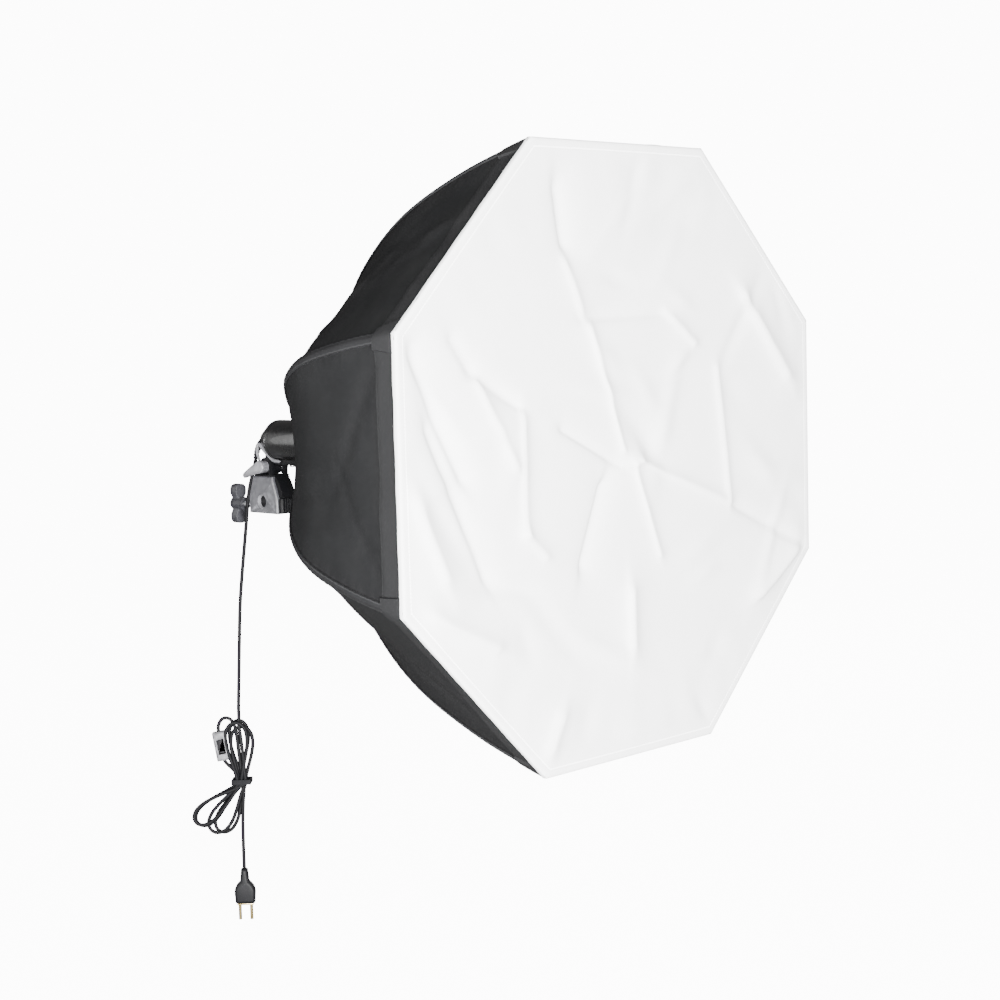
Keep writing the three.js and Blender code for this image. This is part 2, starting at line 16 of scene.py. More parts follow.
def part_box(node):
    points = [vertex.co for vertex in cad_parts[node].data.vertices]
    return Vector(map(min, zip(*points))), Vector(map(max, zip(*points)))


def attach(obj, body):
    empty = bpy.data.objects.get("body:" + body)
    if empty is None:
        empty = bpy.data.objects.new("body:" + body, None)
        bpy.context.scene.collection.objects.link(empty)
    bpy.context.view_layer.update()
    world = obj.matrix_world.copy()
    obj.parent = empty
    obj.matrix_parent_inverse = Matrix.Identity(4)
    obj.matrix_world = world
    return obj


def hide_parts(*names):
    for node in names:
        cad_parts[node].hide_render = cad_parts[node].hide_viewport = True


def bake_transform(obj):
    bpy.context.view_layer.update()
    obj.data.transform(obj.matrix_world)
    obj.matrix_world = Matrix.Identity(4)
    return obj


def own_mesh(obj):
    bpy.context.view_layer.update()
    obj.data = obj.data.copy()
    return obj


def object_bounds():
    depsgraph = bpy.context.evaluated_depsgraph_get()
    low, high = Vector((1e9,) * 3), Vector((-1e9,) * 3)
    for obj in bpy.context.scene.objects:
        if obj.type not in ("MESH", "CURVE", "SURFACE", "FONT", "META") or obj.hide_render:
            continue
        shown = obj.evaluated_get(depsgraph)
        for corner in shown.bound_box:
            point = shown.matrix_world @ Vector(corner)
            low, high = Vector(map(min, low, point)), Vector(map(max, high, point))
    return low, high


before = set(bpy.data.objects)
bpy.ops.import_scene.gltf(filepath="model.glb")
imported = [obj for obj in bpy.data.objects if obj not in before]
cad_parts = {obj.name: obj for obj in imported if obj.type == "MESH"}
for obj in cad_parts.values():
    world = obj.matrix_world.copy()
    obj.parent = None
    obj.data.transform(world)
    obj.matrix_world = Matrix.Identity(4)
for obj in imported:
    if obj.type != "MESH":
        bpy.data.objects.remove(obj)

CAD_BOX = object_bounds()
SEED = 20
MM = 0.001  # one millimetre, in metres
THREAD_PITCH = 3.6  # millimetres, for the lamp and its socket
RIBS = 8
SECTOR = 2 * np.pi / RIBS

log = logging.getLogger("softbox")

Array = np.ndarray
Material = bpy.types.Material
Piece = bpy.types.Object
Socket = bpy.types.NodeSocket


class Body(StrEnum):
    """The CAD bodies that pieces ride on."""

    STAND = "stand_clamp"
    KNOB = "clamp_knob"
    LEVER = "tilt_lever"
    HEAD = "lamp_head"
    BULB = "bulb"
    DIFFUSER = "diffuser"
    ROCKER = "switch_rocker"


def rib_body(rib: int) -> str:
    """The CAD body of a rib, counted from 0."""
    return f"rib_{rib + 1}"


class Slot(StrEnum):
    """The record's finish slots."""

    SHELL = "shell_cloth"
    DIFFUSER = "diffuser_cloth"
    GLOSS = "holder_black"
    PLASTIC = "black_plastic"
    CASTING = "grey_casting"
    STEEL = "steel"
    ROD = "rib_rod"
    BRASS = "brass"
    CERAMIC = "ceramic"
    OPAL = "bulb_opal"
    BASE = "bulb_base"
    CORD = "cord_pvc"


# ------------------------------------------------------------------ curves and surfaces


def unit(vectors: Array) -> Array:
    """Vectors divided by their lengths along the last axis."""
    return vectors / np.maximum(np.linalg.norm(vectors, axis=-1, keepdims=True), 1e-12)


def even_spline(knots: Array, t: Array) -> Array:
    """Uniform Catmull-Rom curve: each span is the cubic whose end slopes are half the chord
    between the knots either side.

    Args:
        knots: Points, one a row.
        t: Places along the curve, 0 at the first knot and 1 at the last.
    Returns:
        One point for each t.
    """
    last = len(knots) - 1
    x = np.clip(t, 0, 1) * last
    i = np.minimum(x.astype(int), last - 1)
    w = (x - i)[:, None]
    before, a, b = knots[np.maximum(i - 1, 0)], knots[i], knots[i + 1]
    after = knots[np.minimum(i + 2, last)]
    return 0.5 * (2 * a + (b - before) * w + (2 * before - 5 * a + 4 * b - after) * w**2
                  + (3 * a - before - 3 * b + after) * w**3)


def smooth_path(points: Array, step: float) -> Array:
    """Centripetal Catmull-Rom curve through points, cut into equal steps of its own length.

    Each span is a cubic Hermite curve. Its knot spacing is the square root of its chord.

    Args:
        points: Points, one a row.
        step: Wanted distance between neighbouring results.
    Returns:
        Points a step apart.
    """
    p = np.asarray(points, float)
    gap = np.sqrt(np.linalg.norm(np.diff(p, axis=0), axis=1))
    ends = np.vstack([2 * p[0] - p[1], p, 2 * p[-1] - p[-2]])
    gaps = np.concatenate([gap[:1], gap, gap[-1:]])
    p0, p1, p2, p3 = ends[:-3], ends[1:-2], ends[2:-1], ends[3:]
    d0, d1, d2 = gaps[:-2, None], gaps[1:-1, None], gaps[2:, None]
    m1 = ((p1 - p0) / d0 - (p2 - p0) / (d0 + d1) + (p2 - p1) / d1) * d1
    m2 = ((p2 - p1) / d1 - (p3 - p1) / (d1 + d2) + (p3 - p2) / d2) * d1
    w = np.linspace(0, 1, 24, endpoint=False)[None, :, None]
    spans = ((2 * w**3 - 3 * w**2 + 1) * p1[:, None] + (w**3 - 2 * w**2 + w) * m1[:, None]
             + (3 * w**2 - 2 * w**3) * p2[:, None] + (w**3 - w**2) * m2[:, None])
    fine = np.vstack([spans.reshape(-1, 3), p[-1:]])
    run = np.concatenate([[0], np.cumsum(np.linalg.norm(np.diff(fine, axis=0), axis=1))])
    count = max(2, int(round(run[-1] / step)) + 1)
    even = np.linspace(0, run[-1], count)
    return np.stack([np.interp(even, run, fine[:, k]) for k in range(3)], axis=1)


def path_length(path: Array) -> float:
    """The summed length of a path's steps."""
    return float(np.linalg.norm(np.diff(path, axis=0), axis=1).sum())


def carried_ring(path: Array, radius: Array, sides: int, reference: Array) -> Array:
    """A round section carried along a path: centre + radius (N cos + B sin).

    B is the reference direction made square to the path, and N is B x tangent.

    Args:
        path: Centres, one a row.
        radius: The radius at each centre.
        sides: Points round the section.
        reference: A direction that the path never runs along.
    Returns:
        A grid of points, one row a section.
    """
    along = unit(np.gradient(path, axis=0))
    across = unit(reference - along * (along @ reference)[:, None])
    side = np.cross(across, along)
    turn = np.linspace(0, 2 * np.pi, sides, endpoint=False)[None, :, None]
    rings = side[:, None] * np.cos(turn) + across[:, None] * np.sin(turn)
    return path[:, None] + radius[:, None, None] * rings


def grid_quads(rows: int, columns: int, wrap: bool = False, start: int = 0) -> Array:
    """Four corner numbers for each cell of a grid of points, row by row.

    Args:
        rows: Rows of points.
        columns: Points in a row.
        wrap: Whether the last column joins the first.
        start: The number of the first point.
    Returns:
        An array of quads.
    """
    i = np.arange(rows - 1)[:, None]
    j = np.arange(columns if wrap else columns - 1)[None, :]
    k = (j + 1) % columns
    quads = np.stack(np.broadcast_arrays(i * columns + j, i * columns + k,
                                         (i + 1) * columns + k, (i + 1) * columns + j), axis=-1)
    return quads.reshape(-1, 4) + start


def bump(x: Array) -> Array:
    """A smooth rise from 0 to 1: 3x^2 - 2x^3, with x held between 0 and 1."""
    x = np.clip(x, 0, 1)
    return x * x * (3 - 2 * x)


# ------------------------------------------------------------------ meshes


def make_piece(name: str, points: Array, faces: list, materials: list[Material], body: str | None,
               uv: Array | None = None, outward: bool = True) -> Piece:
    """Puts points and faces into a new object.

    Args:
        name: The piece's name.
        points: Its vertices, one a row.
        faces: Its faces, as lists of vertex numbers.
        materials: Its materials, in slot order.
        body: The body it rides on, or None for a piece left unattached.
        uv: A place on the surface in metres for each vertex.
        outward: Whether its faces are turned to point out.
    Returns:
        The object, smooth shaded.
    """
    mesh = bpy.data.meshes.new(name)
    mesh.from_pydata(points.reshape(-1, 3).tolist(), [], faces)
    if outward:
        turn_outward(mesh)
    if uv is not None:
        add_map(mesh, uv)
    for material in materials:
        mesh.materials.append(material)
    mesh.shade_smooth()
    piece = bpy.data.objects.new(name, mesh)
    bpy.context.scene.collection.objects.link(piece)
    if body is not None:
        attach(piece, str(body))
    log.info("%s: %d faces", name, len(mesh.polygons))
    return piece


def add_map(mesh: bpy.types.Mesh, uv: Array) -> None:
    """Gives a mesh its map "cloth" from a place in metres for each vertex."""
    corner = np.zeros(len(mesh.loops), int)
    mesh.loops.foreach_get("vertex_index", corner)
    layer = mesh.uv_layers.new(name="cloth")
    layer.data.foreach_set("uv", uv.reshape(-1, 2)[corner].astype(np.float32).ravel())


def turn_outward(mesh: bpy.types.Mesh) -> None:
    """Makes every closed shell's faces point out."""
    work = bmesh.new()
    work.from_mesh(mesh)
    bmesh.ops.recalc_face_normals(work, faces=work.faces)
    work.to_mesh(mesh)
    work.free()


def flat_angle(piece: Piece, degrees: float = 35.0) -> Piece:
    """Keeps edges sharper than an angle crisp, and the rest smooth."""
    piece.data.set_sharp_from_angle(angle=np.radians(degrees))
    return piece


def capped_tube(grid: Array) -> tuple[Array, list]:
    """Closes a grid of rings with a fan at each end.

    Args:
        grid: Points, one row a ring.
    Returns:
        The points, with a centre for each end, and the faces.
    """
    rows, sides = grid.shape[:2]
    faces = grid_quads(rows, sides, wrap=True).tolist()
    first, last = rows * sides, rows * sides + 1
    j = np.arange(sides)
    k = (j + 1) % sides
    low = np.stack([np.full(sides, first), k, j], axis=1)
    high = np.stack([np.full(sides, last), j + (rows - 1) * sides, k + (rows - 1) * sides], axis=1)
    points = np.vstack([grid.reshape(-1, 3), grid[0].mean(0), grid[-1].mean(0)])
    return points, faces + low.tolist() + high.tolist()


def tube_uv(path: Array, radius: float, sides: int) -> Array:
    """Metres along and round a tube for each of its points, its two end centres last."""
    run = np.concatenate([[0], np.cumsum(np.linalg.norm(np.diff(path, axis=0), axis=1))])
    round_it = np.linspace(0, 2 * np.pi * radius, sides, endpoint=False)
    grid = np.stack(np.broadcast_arrays(run[:, None], round_it[None, :]), axis=-1).reshape(-1, 2)
    return np.vstack([grid, [[0, 0], [run[-1], 0]]])


@dataclass
class Lathe:
    """Profiles turned about the lamp axis."""

    axis_z: float
    face_y: float
    segments: int = 96

    def ring_grid(self, profile: Array, ripple: Array | None = None) -> Array:
        """Points of a turned profile: (r cos a, face + depth, axis + r sin a).

        Args:
            profile: Rows of radius and depth behind the face, in millimetres.
            ripple: Millimetres added to the radius, a row for each profile point.
        Returns:
            A grid, one row for each profile point.
        """
        a = np.linspace(0, 2 * np.pi, self.segments, endpoint=False)[None, :]
        r = np.broadcast_to(profile[:, :1], (len(profile), self.segments))
        r = (r + (0 if ripple is None else ripple)) * MM
        y = np.broadcast_to(self.face_y + profile[:, 1:] * MM, r.shape)
        return np.stack([r * np.cos(a), y, self.axis_z + r * np.sin(a)], axis=-1)

    def rounded(self, profile: list, corner: float = 0.6, steps: int = 3, closed: bool = True) -> Array:
        """A profile with each corner replaced by a short arc-like curve.

        The arc is the quadratic curve from a point before the corner to one after it.

        Args:
            profile: Radius and depth pairs.
            corner: How far before and after a corner its curve starts and ends.
            steps: Points in each curve.
            closed: Whether the profile joins up, or starts and ends on the axis.
        Returns:
            The finer profile, ready to turn.
        """
        p = np.array(profile, float)
        prev, nxt = np.roll(p, 1, axis=0), np.roll(p, -1, axis=0)
        near = np.minimum(np.linalg.norm(prev - p, axis=1), np.linalg.norm(nxt - p, axis=1))
        cut = np.minimum(corner, 0.4 * near)[:, None]
        a, b = p + unit(prev - p) * cut, p + unit(nxt - p) * cut
        w = np.linspace(0, 1, steps + 1)[None, :, None]
        curve = (1 - w)**2 * a[:, None] + 2 * w * (1 - w) * p[:, None] + w**2 * b[:, None]
        if closed:
            return curve.reshape(-1, 2)
        return np.vstack([p[:1], curve[1:-1].reshape(-1, 2), p[-1:]])

    def turn(self, name: str, profile: Array, material: Material, body: Body, slot: Slot,
             closed: bool = True, ripple: Array | None = None) -> Piece:
        """Makes a turned piece.

        Args:
            name: The piece's name.
            profile: Radius and depth pairs, closed on themselves or ending on the axis.
            material: Its finish.
            body: The body it rides on.
            slot: The record's finish slot; not used.
            closed: Whether the profile closes on itself.
            ripple: Millimetres added to the radius.
        Returns:
            The piece.
        """
        if closed:
            grid = self.ring_grid(profile, ripple)
            rows = len(profile)
            faces = grid_quads(rows, self.segments, wrap=True).tolist()
            seam = grid_quads(2, self.segments, wrap=True)
            seam = np.where(seam >= self.segments, seam - self.segments,
                            seam + (rows - 1) * self.segments)
            points, faces = grid.reshape(-1, 3), faces + seam.tolist()
        else:
            inner = None if ripple is None else ripple[1:-1]
            points, faces = capped_tube(self.ring_grid(profile[1:-1], inner))
            ends = self.face_y + profile[[0, -1], 1] * MM
            points[-2:] = [[0, ends[0], self.axis_z], [0, ends[1], self.axis_z]]
        return flat_angle(make_piece(name, points, faces, [material], body))


def refined(node: str, name: str, bevel: float, material: Material, body: Body, slot: Slot,
            segments: int = 3, angle: float = 32.0) -> Piece:
    """A copy of a machined or moulded CAD node, with merged faces and small rounds on its edges.

    Args:
        node: The CAD node it stands for.
        name: The new piece's name.
        bevel: Width of the edge round, in metres.
        material: Its finish.
        body: The body it rides on.
        slot: The record's finish slot; not used.
        segments: Steps in each round.
        angle: Edges sharper than this are rounded, in degrees.
    Returns:
        The new piece.
    """
    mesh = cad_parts[node].data.copy()
    mesh.name = name
    work = bmesh.new()
    work.from_mesh(mesh)
    bmesh.ops.remove_doubles(work, verts=work.verts, dist=2e-6)
    bmesh.ops.dissolve_limit(work, angle_limit=np.radians(2.0), verts=work.verts, edges=work.edges)
    bmesh.ops.recalc_face_normals(work, faces=work.faces)
    work.to_mesh(mesh)
    work.free()
    mesh.materials.clear()
    mesh.materials.append(material)
    mesh.shade_smooth()
    piece = bpy.data.objects.new(name, mesh)
    bpy.context.scene.collection.objects.link(piece)
    rounding = piece.modifiers.new("edge_round", "BEVEL")
    rounding.width = bevel
    rounding.segments = segments
    rounding.limit_method = "ANGLE"
    rounding.angle_limit = np.radians(angle)
    applied(piece)
    flat_angle(piece, 40.0)
    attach(piece, str(body))
    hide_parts(node)
    log.info("%s: %d faces", name, len(piece.data.polygons))
    return piece


def applied(piece: Piece) -> Piece:
    """Turns a piece's modifiers into mesh."""
    shape = bpy.data.meshes.new_from_object(piece.evaluated_get(bpy.context.evaluated_depsgraph_get()))
    piece.modifiers.clear()
    piece.data = shape
    return piece


# ------------------------------------------------------------------ shader node groups


class Sketch:
    """A node tree being wired: short calls for adding nodes and joining sockets."""

    def __init__(self, tree: bpy.types.NodeTree) -> None:
        """Starts on an empty tree."""
        self.tree = tree
        tree.nodes.clear()

    def add(self, kind: str, inputs: dict | None = None, **settings: object) -> bpy.types.Node:
        """Adds a node.

        Args:
            kind: The node's type name after "ShaderNode", or a full type name.
            inputs: Values or sockets for its inputs, by name or number.
            settings: Properties of the node.
        Returns:
            The node.
        """
        full = kind if kind.startswith("Node") else "ShaderNode" + kind
        node = self.tree.nodes.new(full)
        for key, value in settings.items():
            setattr(node, key, value)
        for key, value in (inputs or {}).items():
            if isinstance(value, bpy.types.NodeSocket):
                self.tree.links.new(value, node.inputs[key])
            else:
                node.inputs[key].default_value = value
        return node

    def math(self, operation: str, a: object, b: object = 0.0, clamp: bool = False) -> Socket:
        """The result of a Math node on two numbers or sockets."""
        node = self.add("Math", {0: a, 1: b}, operation=operation, use_clamp=clamp)
        return node.outputs[0]

    def mix(self, factor: object, a: object, b: object) -> Socket:
        """A colour between a and b."""
        node = self.add("Mix", {0: factor, 6: a, 7: b}, data_type="RGBA")
        return node.outputs[2]

    def span(self, value: Socket, low: float, high: float, to_low: float, to_high: float) -> Socket:
        """A value carried from one range to another, and held inside it."""
        node = self.add("MapRange", {0: value, 1: low, 2: high, 3: to_low, 4: to_high})
        return node.outputs[0]


def shader_group(name: str, inputs: list[tuple], outputs: list[tuple]) -> tuple:
    """Makes an empty shader node group.

    Args:
        name: The group's name.
        inputs: (name, socket type, default) for each input.
        outputs: (name, socket type) for each output.
    Returns:
        Its sketch, its input node and its output node.
    """
    tree = bpy.data.node_groups.new(name, "ShaderNodeTree")
    for label, kind, default in inputs:
        made = tree.interface.new_socket(name=label, in_out="INPUT", socket_type="NodeSocket" + kind)
        if default is not None:
            made.default_value = default
    for label, kind in outputs:
        tree.interface.new_socket(name=label, in_out="OUTPUT", socket_type="NodeSocket" + kind)
    sketch = Sketch(tree)
    return sketch, sketch.add("NodeGroupInput"), sketch.add("NodeGroupOutput")


def weave_group() -> bpy.types.NodeTree:
    """Plain weave: the thread height is 0.5 + 0.5 sin(pi n u) sin(pi n v), broken by slubs."""
    s, take, give = shader_group(
        "plain_weave",
        [("Vector", "Vector", None), ("Threads", "Float", 900.0), ("Slub", "Float", 0.3)],
        [("Height", "Float"), ("Tone", "Float")])
    parts = s.add("SeparateXYZ", {0: take.outputs["Vector"]})
    turns = s.math("MULTIPLY", take.outputs["Threads"], np.pi)
    warp = s.math("SINE", s.math("MULTIPLY", parts.outputs[0], turns))
    weft = s.math("SINE", s.math("MULTIPLY", parts.outputs[1], turns))
    height = s.math("MULTIPLY_ADD", s.math("MULTIPLY", warp, weft), 0.5)
    height.node.inputs[2].default_value = 0.5
    stretch = s.add("Mapping", {"Vector": take.outputs["Vector"], "Scale": (60.0, 900.0, 1.0)})
    slub = s.add("TexNoise", {"Vector": stretch.outputs[0], "Scale": 1.0, "Detail": 2.0})
    tone = s.math("MULTIPLY", s.math("SUBTRACT", slub.outputs[0], 0.5), take.outputs["Slub"])
    s.tree.links.new(s.math("ADD", height, tone), give.inputs["Height"])
    s.tree.links.new(s.math("ADD", tone, 0.5), give.inputs["Tone"])
    return s.tree


def mottle_group() -> bpy.types.NodeTree:
    """Uneven tone: broad cloud noise with a finer one over it, from 0 to 1."""
    s, take, give = shader_group(
        "uneven_tone", [("Vector", "Vector", None), ("Scale", "Float", 12.0)], [("Value", "Float")])
    broad = s.add("TexNoise", {"Vector": take.outputs["Vector"], "Scale": take.outputs["Scale"],
                               "Detail": 4.0, "Roughness": 0.55})
    fine_scale = s.math("MULTIPLY", take.outputs["Scale"], 9.0)
    fine = s.add("TexNoise", {"Vector": take.outputs["Vector"], "Scale": fine_scale, "Detail": 2.0})
    both = s.math("MULTIPLY_ADD", fine.outputs[0], 0.3)
    s.tree.links.new(s.math("MULTIPLY", broad.outputs[0], 0.7), both.node.inputs[2])
    s.tree.links.new(s.span(both, 0.3, 0.7, 0.0, 1.0), give.inputs["Value"])
    return s.tree


def grain_group() -> bpy.types.NodeTree:
    """Fine surface grain: cell noise and a tight cloud noise, as a height from 0 to 1."""
    s, take, give = shader_group(
        "fine_grain", [("Vector", "Vector", None), ("Scale", "Float", 900.0)], [("Height", "Float")])
    cells = s.add("TexVoronoi", {"Vector": take.outputs["Vector"], "Scale": take.outputs["Scale"]})
    cloud = s.add("TexNoise", {"Vector": take.outputs["Vector"], "Scale": take.outputs["Scale"],
                               "Detail": 3.0})
    s.tree.links.new(s.math("MULTIPLY", cells.outputs[0], cloud.outputs[0]), give.inputs["Height"])
    return s.tree


def edge_wear_light_shade_group() -> bpy.types.NodeTree:
    """Edge marks where the surface turns outward sharply, broken up by noise: scuffs, with painted highlight
    on the cast grey and painted dark outline shade on the knob, from the colour each finish gives them.
    """
    s, take, give = shader_group(
        "edge_wear_light_shade_mask", [("Vector", "Vector", None), ("Amount", "Float", 1.0)], [("Mask", "Float")])
    turn = s.add("NewGeometry").outputs["Pointiness"]
    edge = s.span(turn, 0.505, 0.56, 0.0, 1.0)
    patches = s.add("TexNoise", {"Vector": take.outputs["Vector"], "Scale": 160.0, "Detail": 4.0})
    edge_marked = s.math("MULTIPLY", edge, s.span(patches.outputs[0], 0.38, 0.62, 0.2, 1.0))
    s.tree.links.new(s.math("MULTIPLY", edge_marked, take.outputs["Amount"], clamp=True), give.inputs["Mask"])
    return s.tree


def dust_group() -> bpy.types.NodeTree:
    """Dust: more on faces that look up, in soft patches."""
    s, take, give = shader_group(
        "settled_dust", [("Vector", "Vector", None), ("Amount", "Float", 0.2)], [("Mask", "Float")])
    up = s.add("SeparateXYZ", {0: s.add("NewGeometry").outputs["Normal"]}).outputs[2]
    patches = s.add("TexNoise", {"Vector": take.outputs["Vector"], "Scale": 30.0, "Detail": 6.0})
    lying = s.math("MULTIPLY", s.span(up, -0.2, 1.0, 0.15, 1.0),
                   s.span(patches.outputs[0], 0.4, 0.7, 0.0, 1.0))
    s.tree.links.new(s.math("MULTIPLY", lying, take.outputs["Amount"], clamp=True), give.inputs["Mask"])
    return s.tree


def stitch_group() -> bpy.types.NodeTree:
    """A row of stitches: dashes along the first axis, at a set place on the second."""
    s, take, give = shader_group(
        "stitch_row",
        [("Vector", "Vector", None), ("Place", "Float", 0.019), ("Pitch", "Float", 0.0032),
         ("Width", "Float", 0.0005)],
        [("Mask", "Float")])
    parts = s.add("SeparateXYZ", {0: take.outputs["Vector"]})
    off = s.math("ABSOLUTE", s.math("SUBTRACT", parts.outputs[1], take.outputs["Place"]))
    near = s.math("LESS_THAN", off, take.outputs["Width"])
    dash = s.math("FRACT", s.math("DIVIDE", parts.outputs[0], take.outputs["Pitch"]))
    s.tree.links.new(s.math("MULTIPLY", near, s.math("LESS_THAN", dash, 0.68)), give.inputs["Mask"])
    return s.tree


class Groups:
    """The shared shader groups, built once."""

    def __init__(self) -> None:
        """Builds every group."""
        self.weave = weave_group()
        self.mottle = mottle_group()
        self.grain = grain_group()
        self.edge_wear_and_light = edge_wear_light_shade_group()
        self.dust = dust_group()
        self.stitch = stitch_group()

    def place(self, s: Sketch, tree: bpy.types.NodeTree, vector: Socket, **values: float) -> bpy.types.Node:
        """Puts a group into a material with its own values."""
        node = s.add("Group")
        node.node_tree = tree
        s.tree.links.new(vector, node.inputs["Vector"])
        for key, value in values.items():
            node.inputs[key.capitalize()].default_value = value
        return node


# ------------------------------------------------------------------ finishes

Colour = tuple[float, float, float]


def start_material(name: str) -> tuple[Material, Sketch, bpy.types.Node]:
    """An empty material with its sketch and a Principled shader joined to the output."""
    material = bpy.data.materials.new(name)
    material.use_nodes = True
    s = Sketch(material.node_tree)
    shader = s.add("BsdfPrincipled")
    s.add("OutputMaterial", {"Surface": shader.outputs[0]})
    return material, s, shader


@dataclass(frozen=True)
class Cloth:
    """A woven finish that follows its piece's own map: metres from the rim, then metres across.

    A hem band is a lighter strip that far from the rim, a painted highlight on the hem fold, and a stitch
    row lies at its own distance.
    """

    name: str
    colour: Colour
    deep: Colour
    roughness: float
    threads: float = 1100.0
    weave_depth: float = 0.00012
    sheen: float = 0.0
    specular: float = 0.25
    metallic: float = 0.0
    dust: float = 0.0
    hem_stitch: float | None = None
    side_stitch: float | None = None
    hem_highlight_band: float = 0.0

    def build(self, groups: Groups) -> Material:
        """Makes the material."""
        material, s, shader = start_material(self.name)
        here = s.add("UVMap", uv_map="cloth").outputs[0]
        body = s.add("TexCoord").outputs["Object"]
        weave = groups.place(s, groups.weave, here, threads=self.threads)
        tone = groups.place(s, groups.mottle, body, scale=14.0)
        shade = s.math("MULTIPLY", tone.outputs[0], weave.outputs["Tone"])
        colour = s.mix(s.span(shade, 0.1, 0.5, 0.0, 1.0), (*self.deep, 1), (*self.colour, 1))
        height = weave.outputs["Height"]
        parts = s.add("SeparateXYZ", {0: here})
        run, across = parts.outputs[0], parts.outputs[1]
        # The hem strip is made lighter in colour: a painted highlight on the fold.
        if self.hem_highlight_band:
            hem_highlight = s.span(run, self.hem_highlight_band - 0.0006, self.hem_highlight_band + 0.0006, 1.0, 0.0)
            light = tuple(1.35 * c for c in self.colour)
            colour = s.mix(hem_highlight, colour, (*light, 1))
        rows = []
        if self.hem_stitch is not None:
            rows.append((s.add("CombineXYZ", {0: across, 1: run}), self.hem_stitch))
        if self.side_stitch is not None:
            rows.append((s.add("CombineXYZ", {0: run, 1: s.math("ABSOLUTE", across)}), self.side_stitch))
        for where, place in rows:
            row = groups.place(s, groups.stitch, where.outputs[0], place=place)
            thread = tuple(2.2 * c + 0.01 for c in self.colour)
            colour = s.mix(s.math("MULTIPLY", row.outputs[0], 0.6), colour, (*thread, 1))
            height = s.math("ADD", height, s.math("MULTIPLY", row.outputs[0], 3.0))
        if self.dust:
            dust = groups.place(s, groups.dust, body, amount=self.dust)
            colour = s.mix(dust.outputs[0], colour, (0.35, 0.34, 0.32, 1))
        rough = s.span(tone.outputs[0], 0.0, 1.0, self.roughness - 0.06, self.roughness + 0.06)
        relief = s.add("Bump", {"Strength": 0.5, "Distance": self.weave_depth, "Height": height})
        for socket, value in (("Base Color", colour), ("Roughness", rough),
                              ("Normal", relief.outputs[0])):
            s.tree.links.new(value, shader.inputs[socket])
        shader.inputs["Specular IOR Level"].default_value = self.specular
        shader.inputs["Sheen Weight"].default_value = self.sheen
        shader.inputs["Metallic"].default_value = self.metallic
        return material


@dataclass(frozen=True)
class Hard:
    """A moulded, cast or machined finish on object coordinates."""

    name: str
    colour: Colour
    roughness: float
    metallic: float = 0.0
    tone: float = 0.12
    tone_scale: float = 25.0
    grain: float = 900.0
    grain_depth: float = 0.00004
    # Edge colour on convex edges: scuffs plus painted light, a painted highlight on the cast grey and
    # painted dark outline shade on the knob.
    edge_wear_and_light: float = 0.0
    edge_wear_light_colour: Colour = (0.6, 0.6, 0.62)
    dust: float = 0.1
    coat: float = 0.0
    specular: float = 0.5
    smudge: float = 0.08

    def build(self, groups: Groups) -> Material:
        """Makes the material."""
        material, s, shader = start_material(self.name)
        body = s.add("TexCoord").outputs["Object"]
        tone = groups.place(s, groups.mottle, body, scale=self.tone_scale)
        dark = tuple(c * (1 - self.tone) for c in self.colour)
        light = tuple(min(1.0, c * (1 + self.tone)) for c in self.colour)
        colour = s.mix(tone.outputs[0], (*dark, 1), (*light, 1))
        smears = groups.place(s, groups.mottle, body, scale=self.tone_scale * 3)
        rough = s.span(smears.outputs[0], 0.0, 1.0, self.roughness - self.smudge,
                       self.roughness + self.smudge)
        # Convex edges take the edge colour: painted edge highlight mixed with scuffs, and painted dark
        # outline shade where that colour is near black.
        if self.edge_wear_and_light:
            edge_wear_and_light = groups.place(s, groups.edge_wear_and_light, body, amount=self.edge_wear_and_light)
            colour = s.mix(edge_wear_and_light.outputs[0], colour, (*self.edge_wear_light_colour, 1))
        if self.dust:
            dust = groups.place(s, groups.dust, body, amount=self.dust)
            colour = s.mix(dust.outputs[0], colour, (0.42, 0.41, 0.39, 1))
            rough = s.math("ADD", rough, s.math("MULTIPLY", dust.outputs[0], 0.5), clamp=True)
        grain = groups.place(s, groups.grain, body, scale=self.grain)
        relief = s.add("Bump", {"Strength": 0.5, "Distance": self.grain_depth,
                                "Height": grain.outputs[0]})
        for socket, value in (("Base Color", colour), ("Roughness", rough),
                              ("Normal", relief.outputs[0])):
            s.tree.links.new(value, shader.inputs[socket])
        shader.inputs["Metallic"].default_value = self.metallic
        shader.inputs["Coat Weight"].default_value = self.coat
        shader.inputs["Specular IOR Level"].default_value = self.specular
        return material


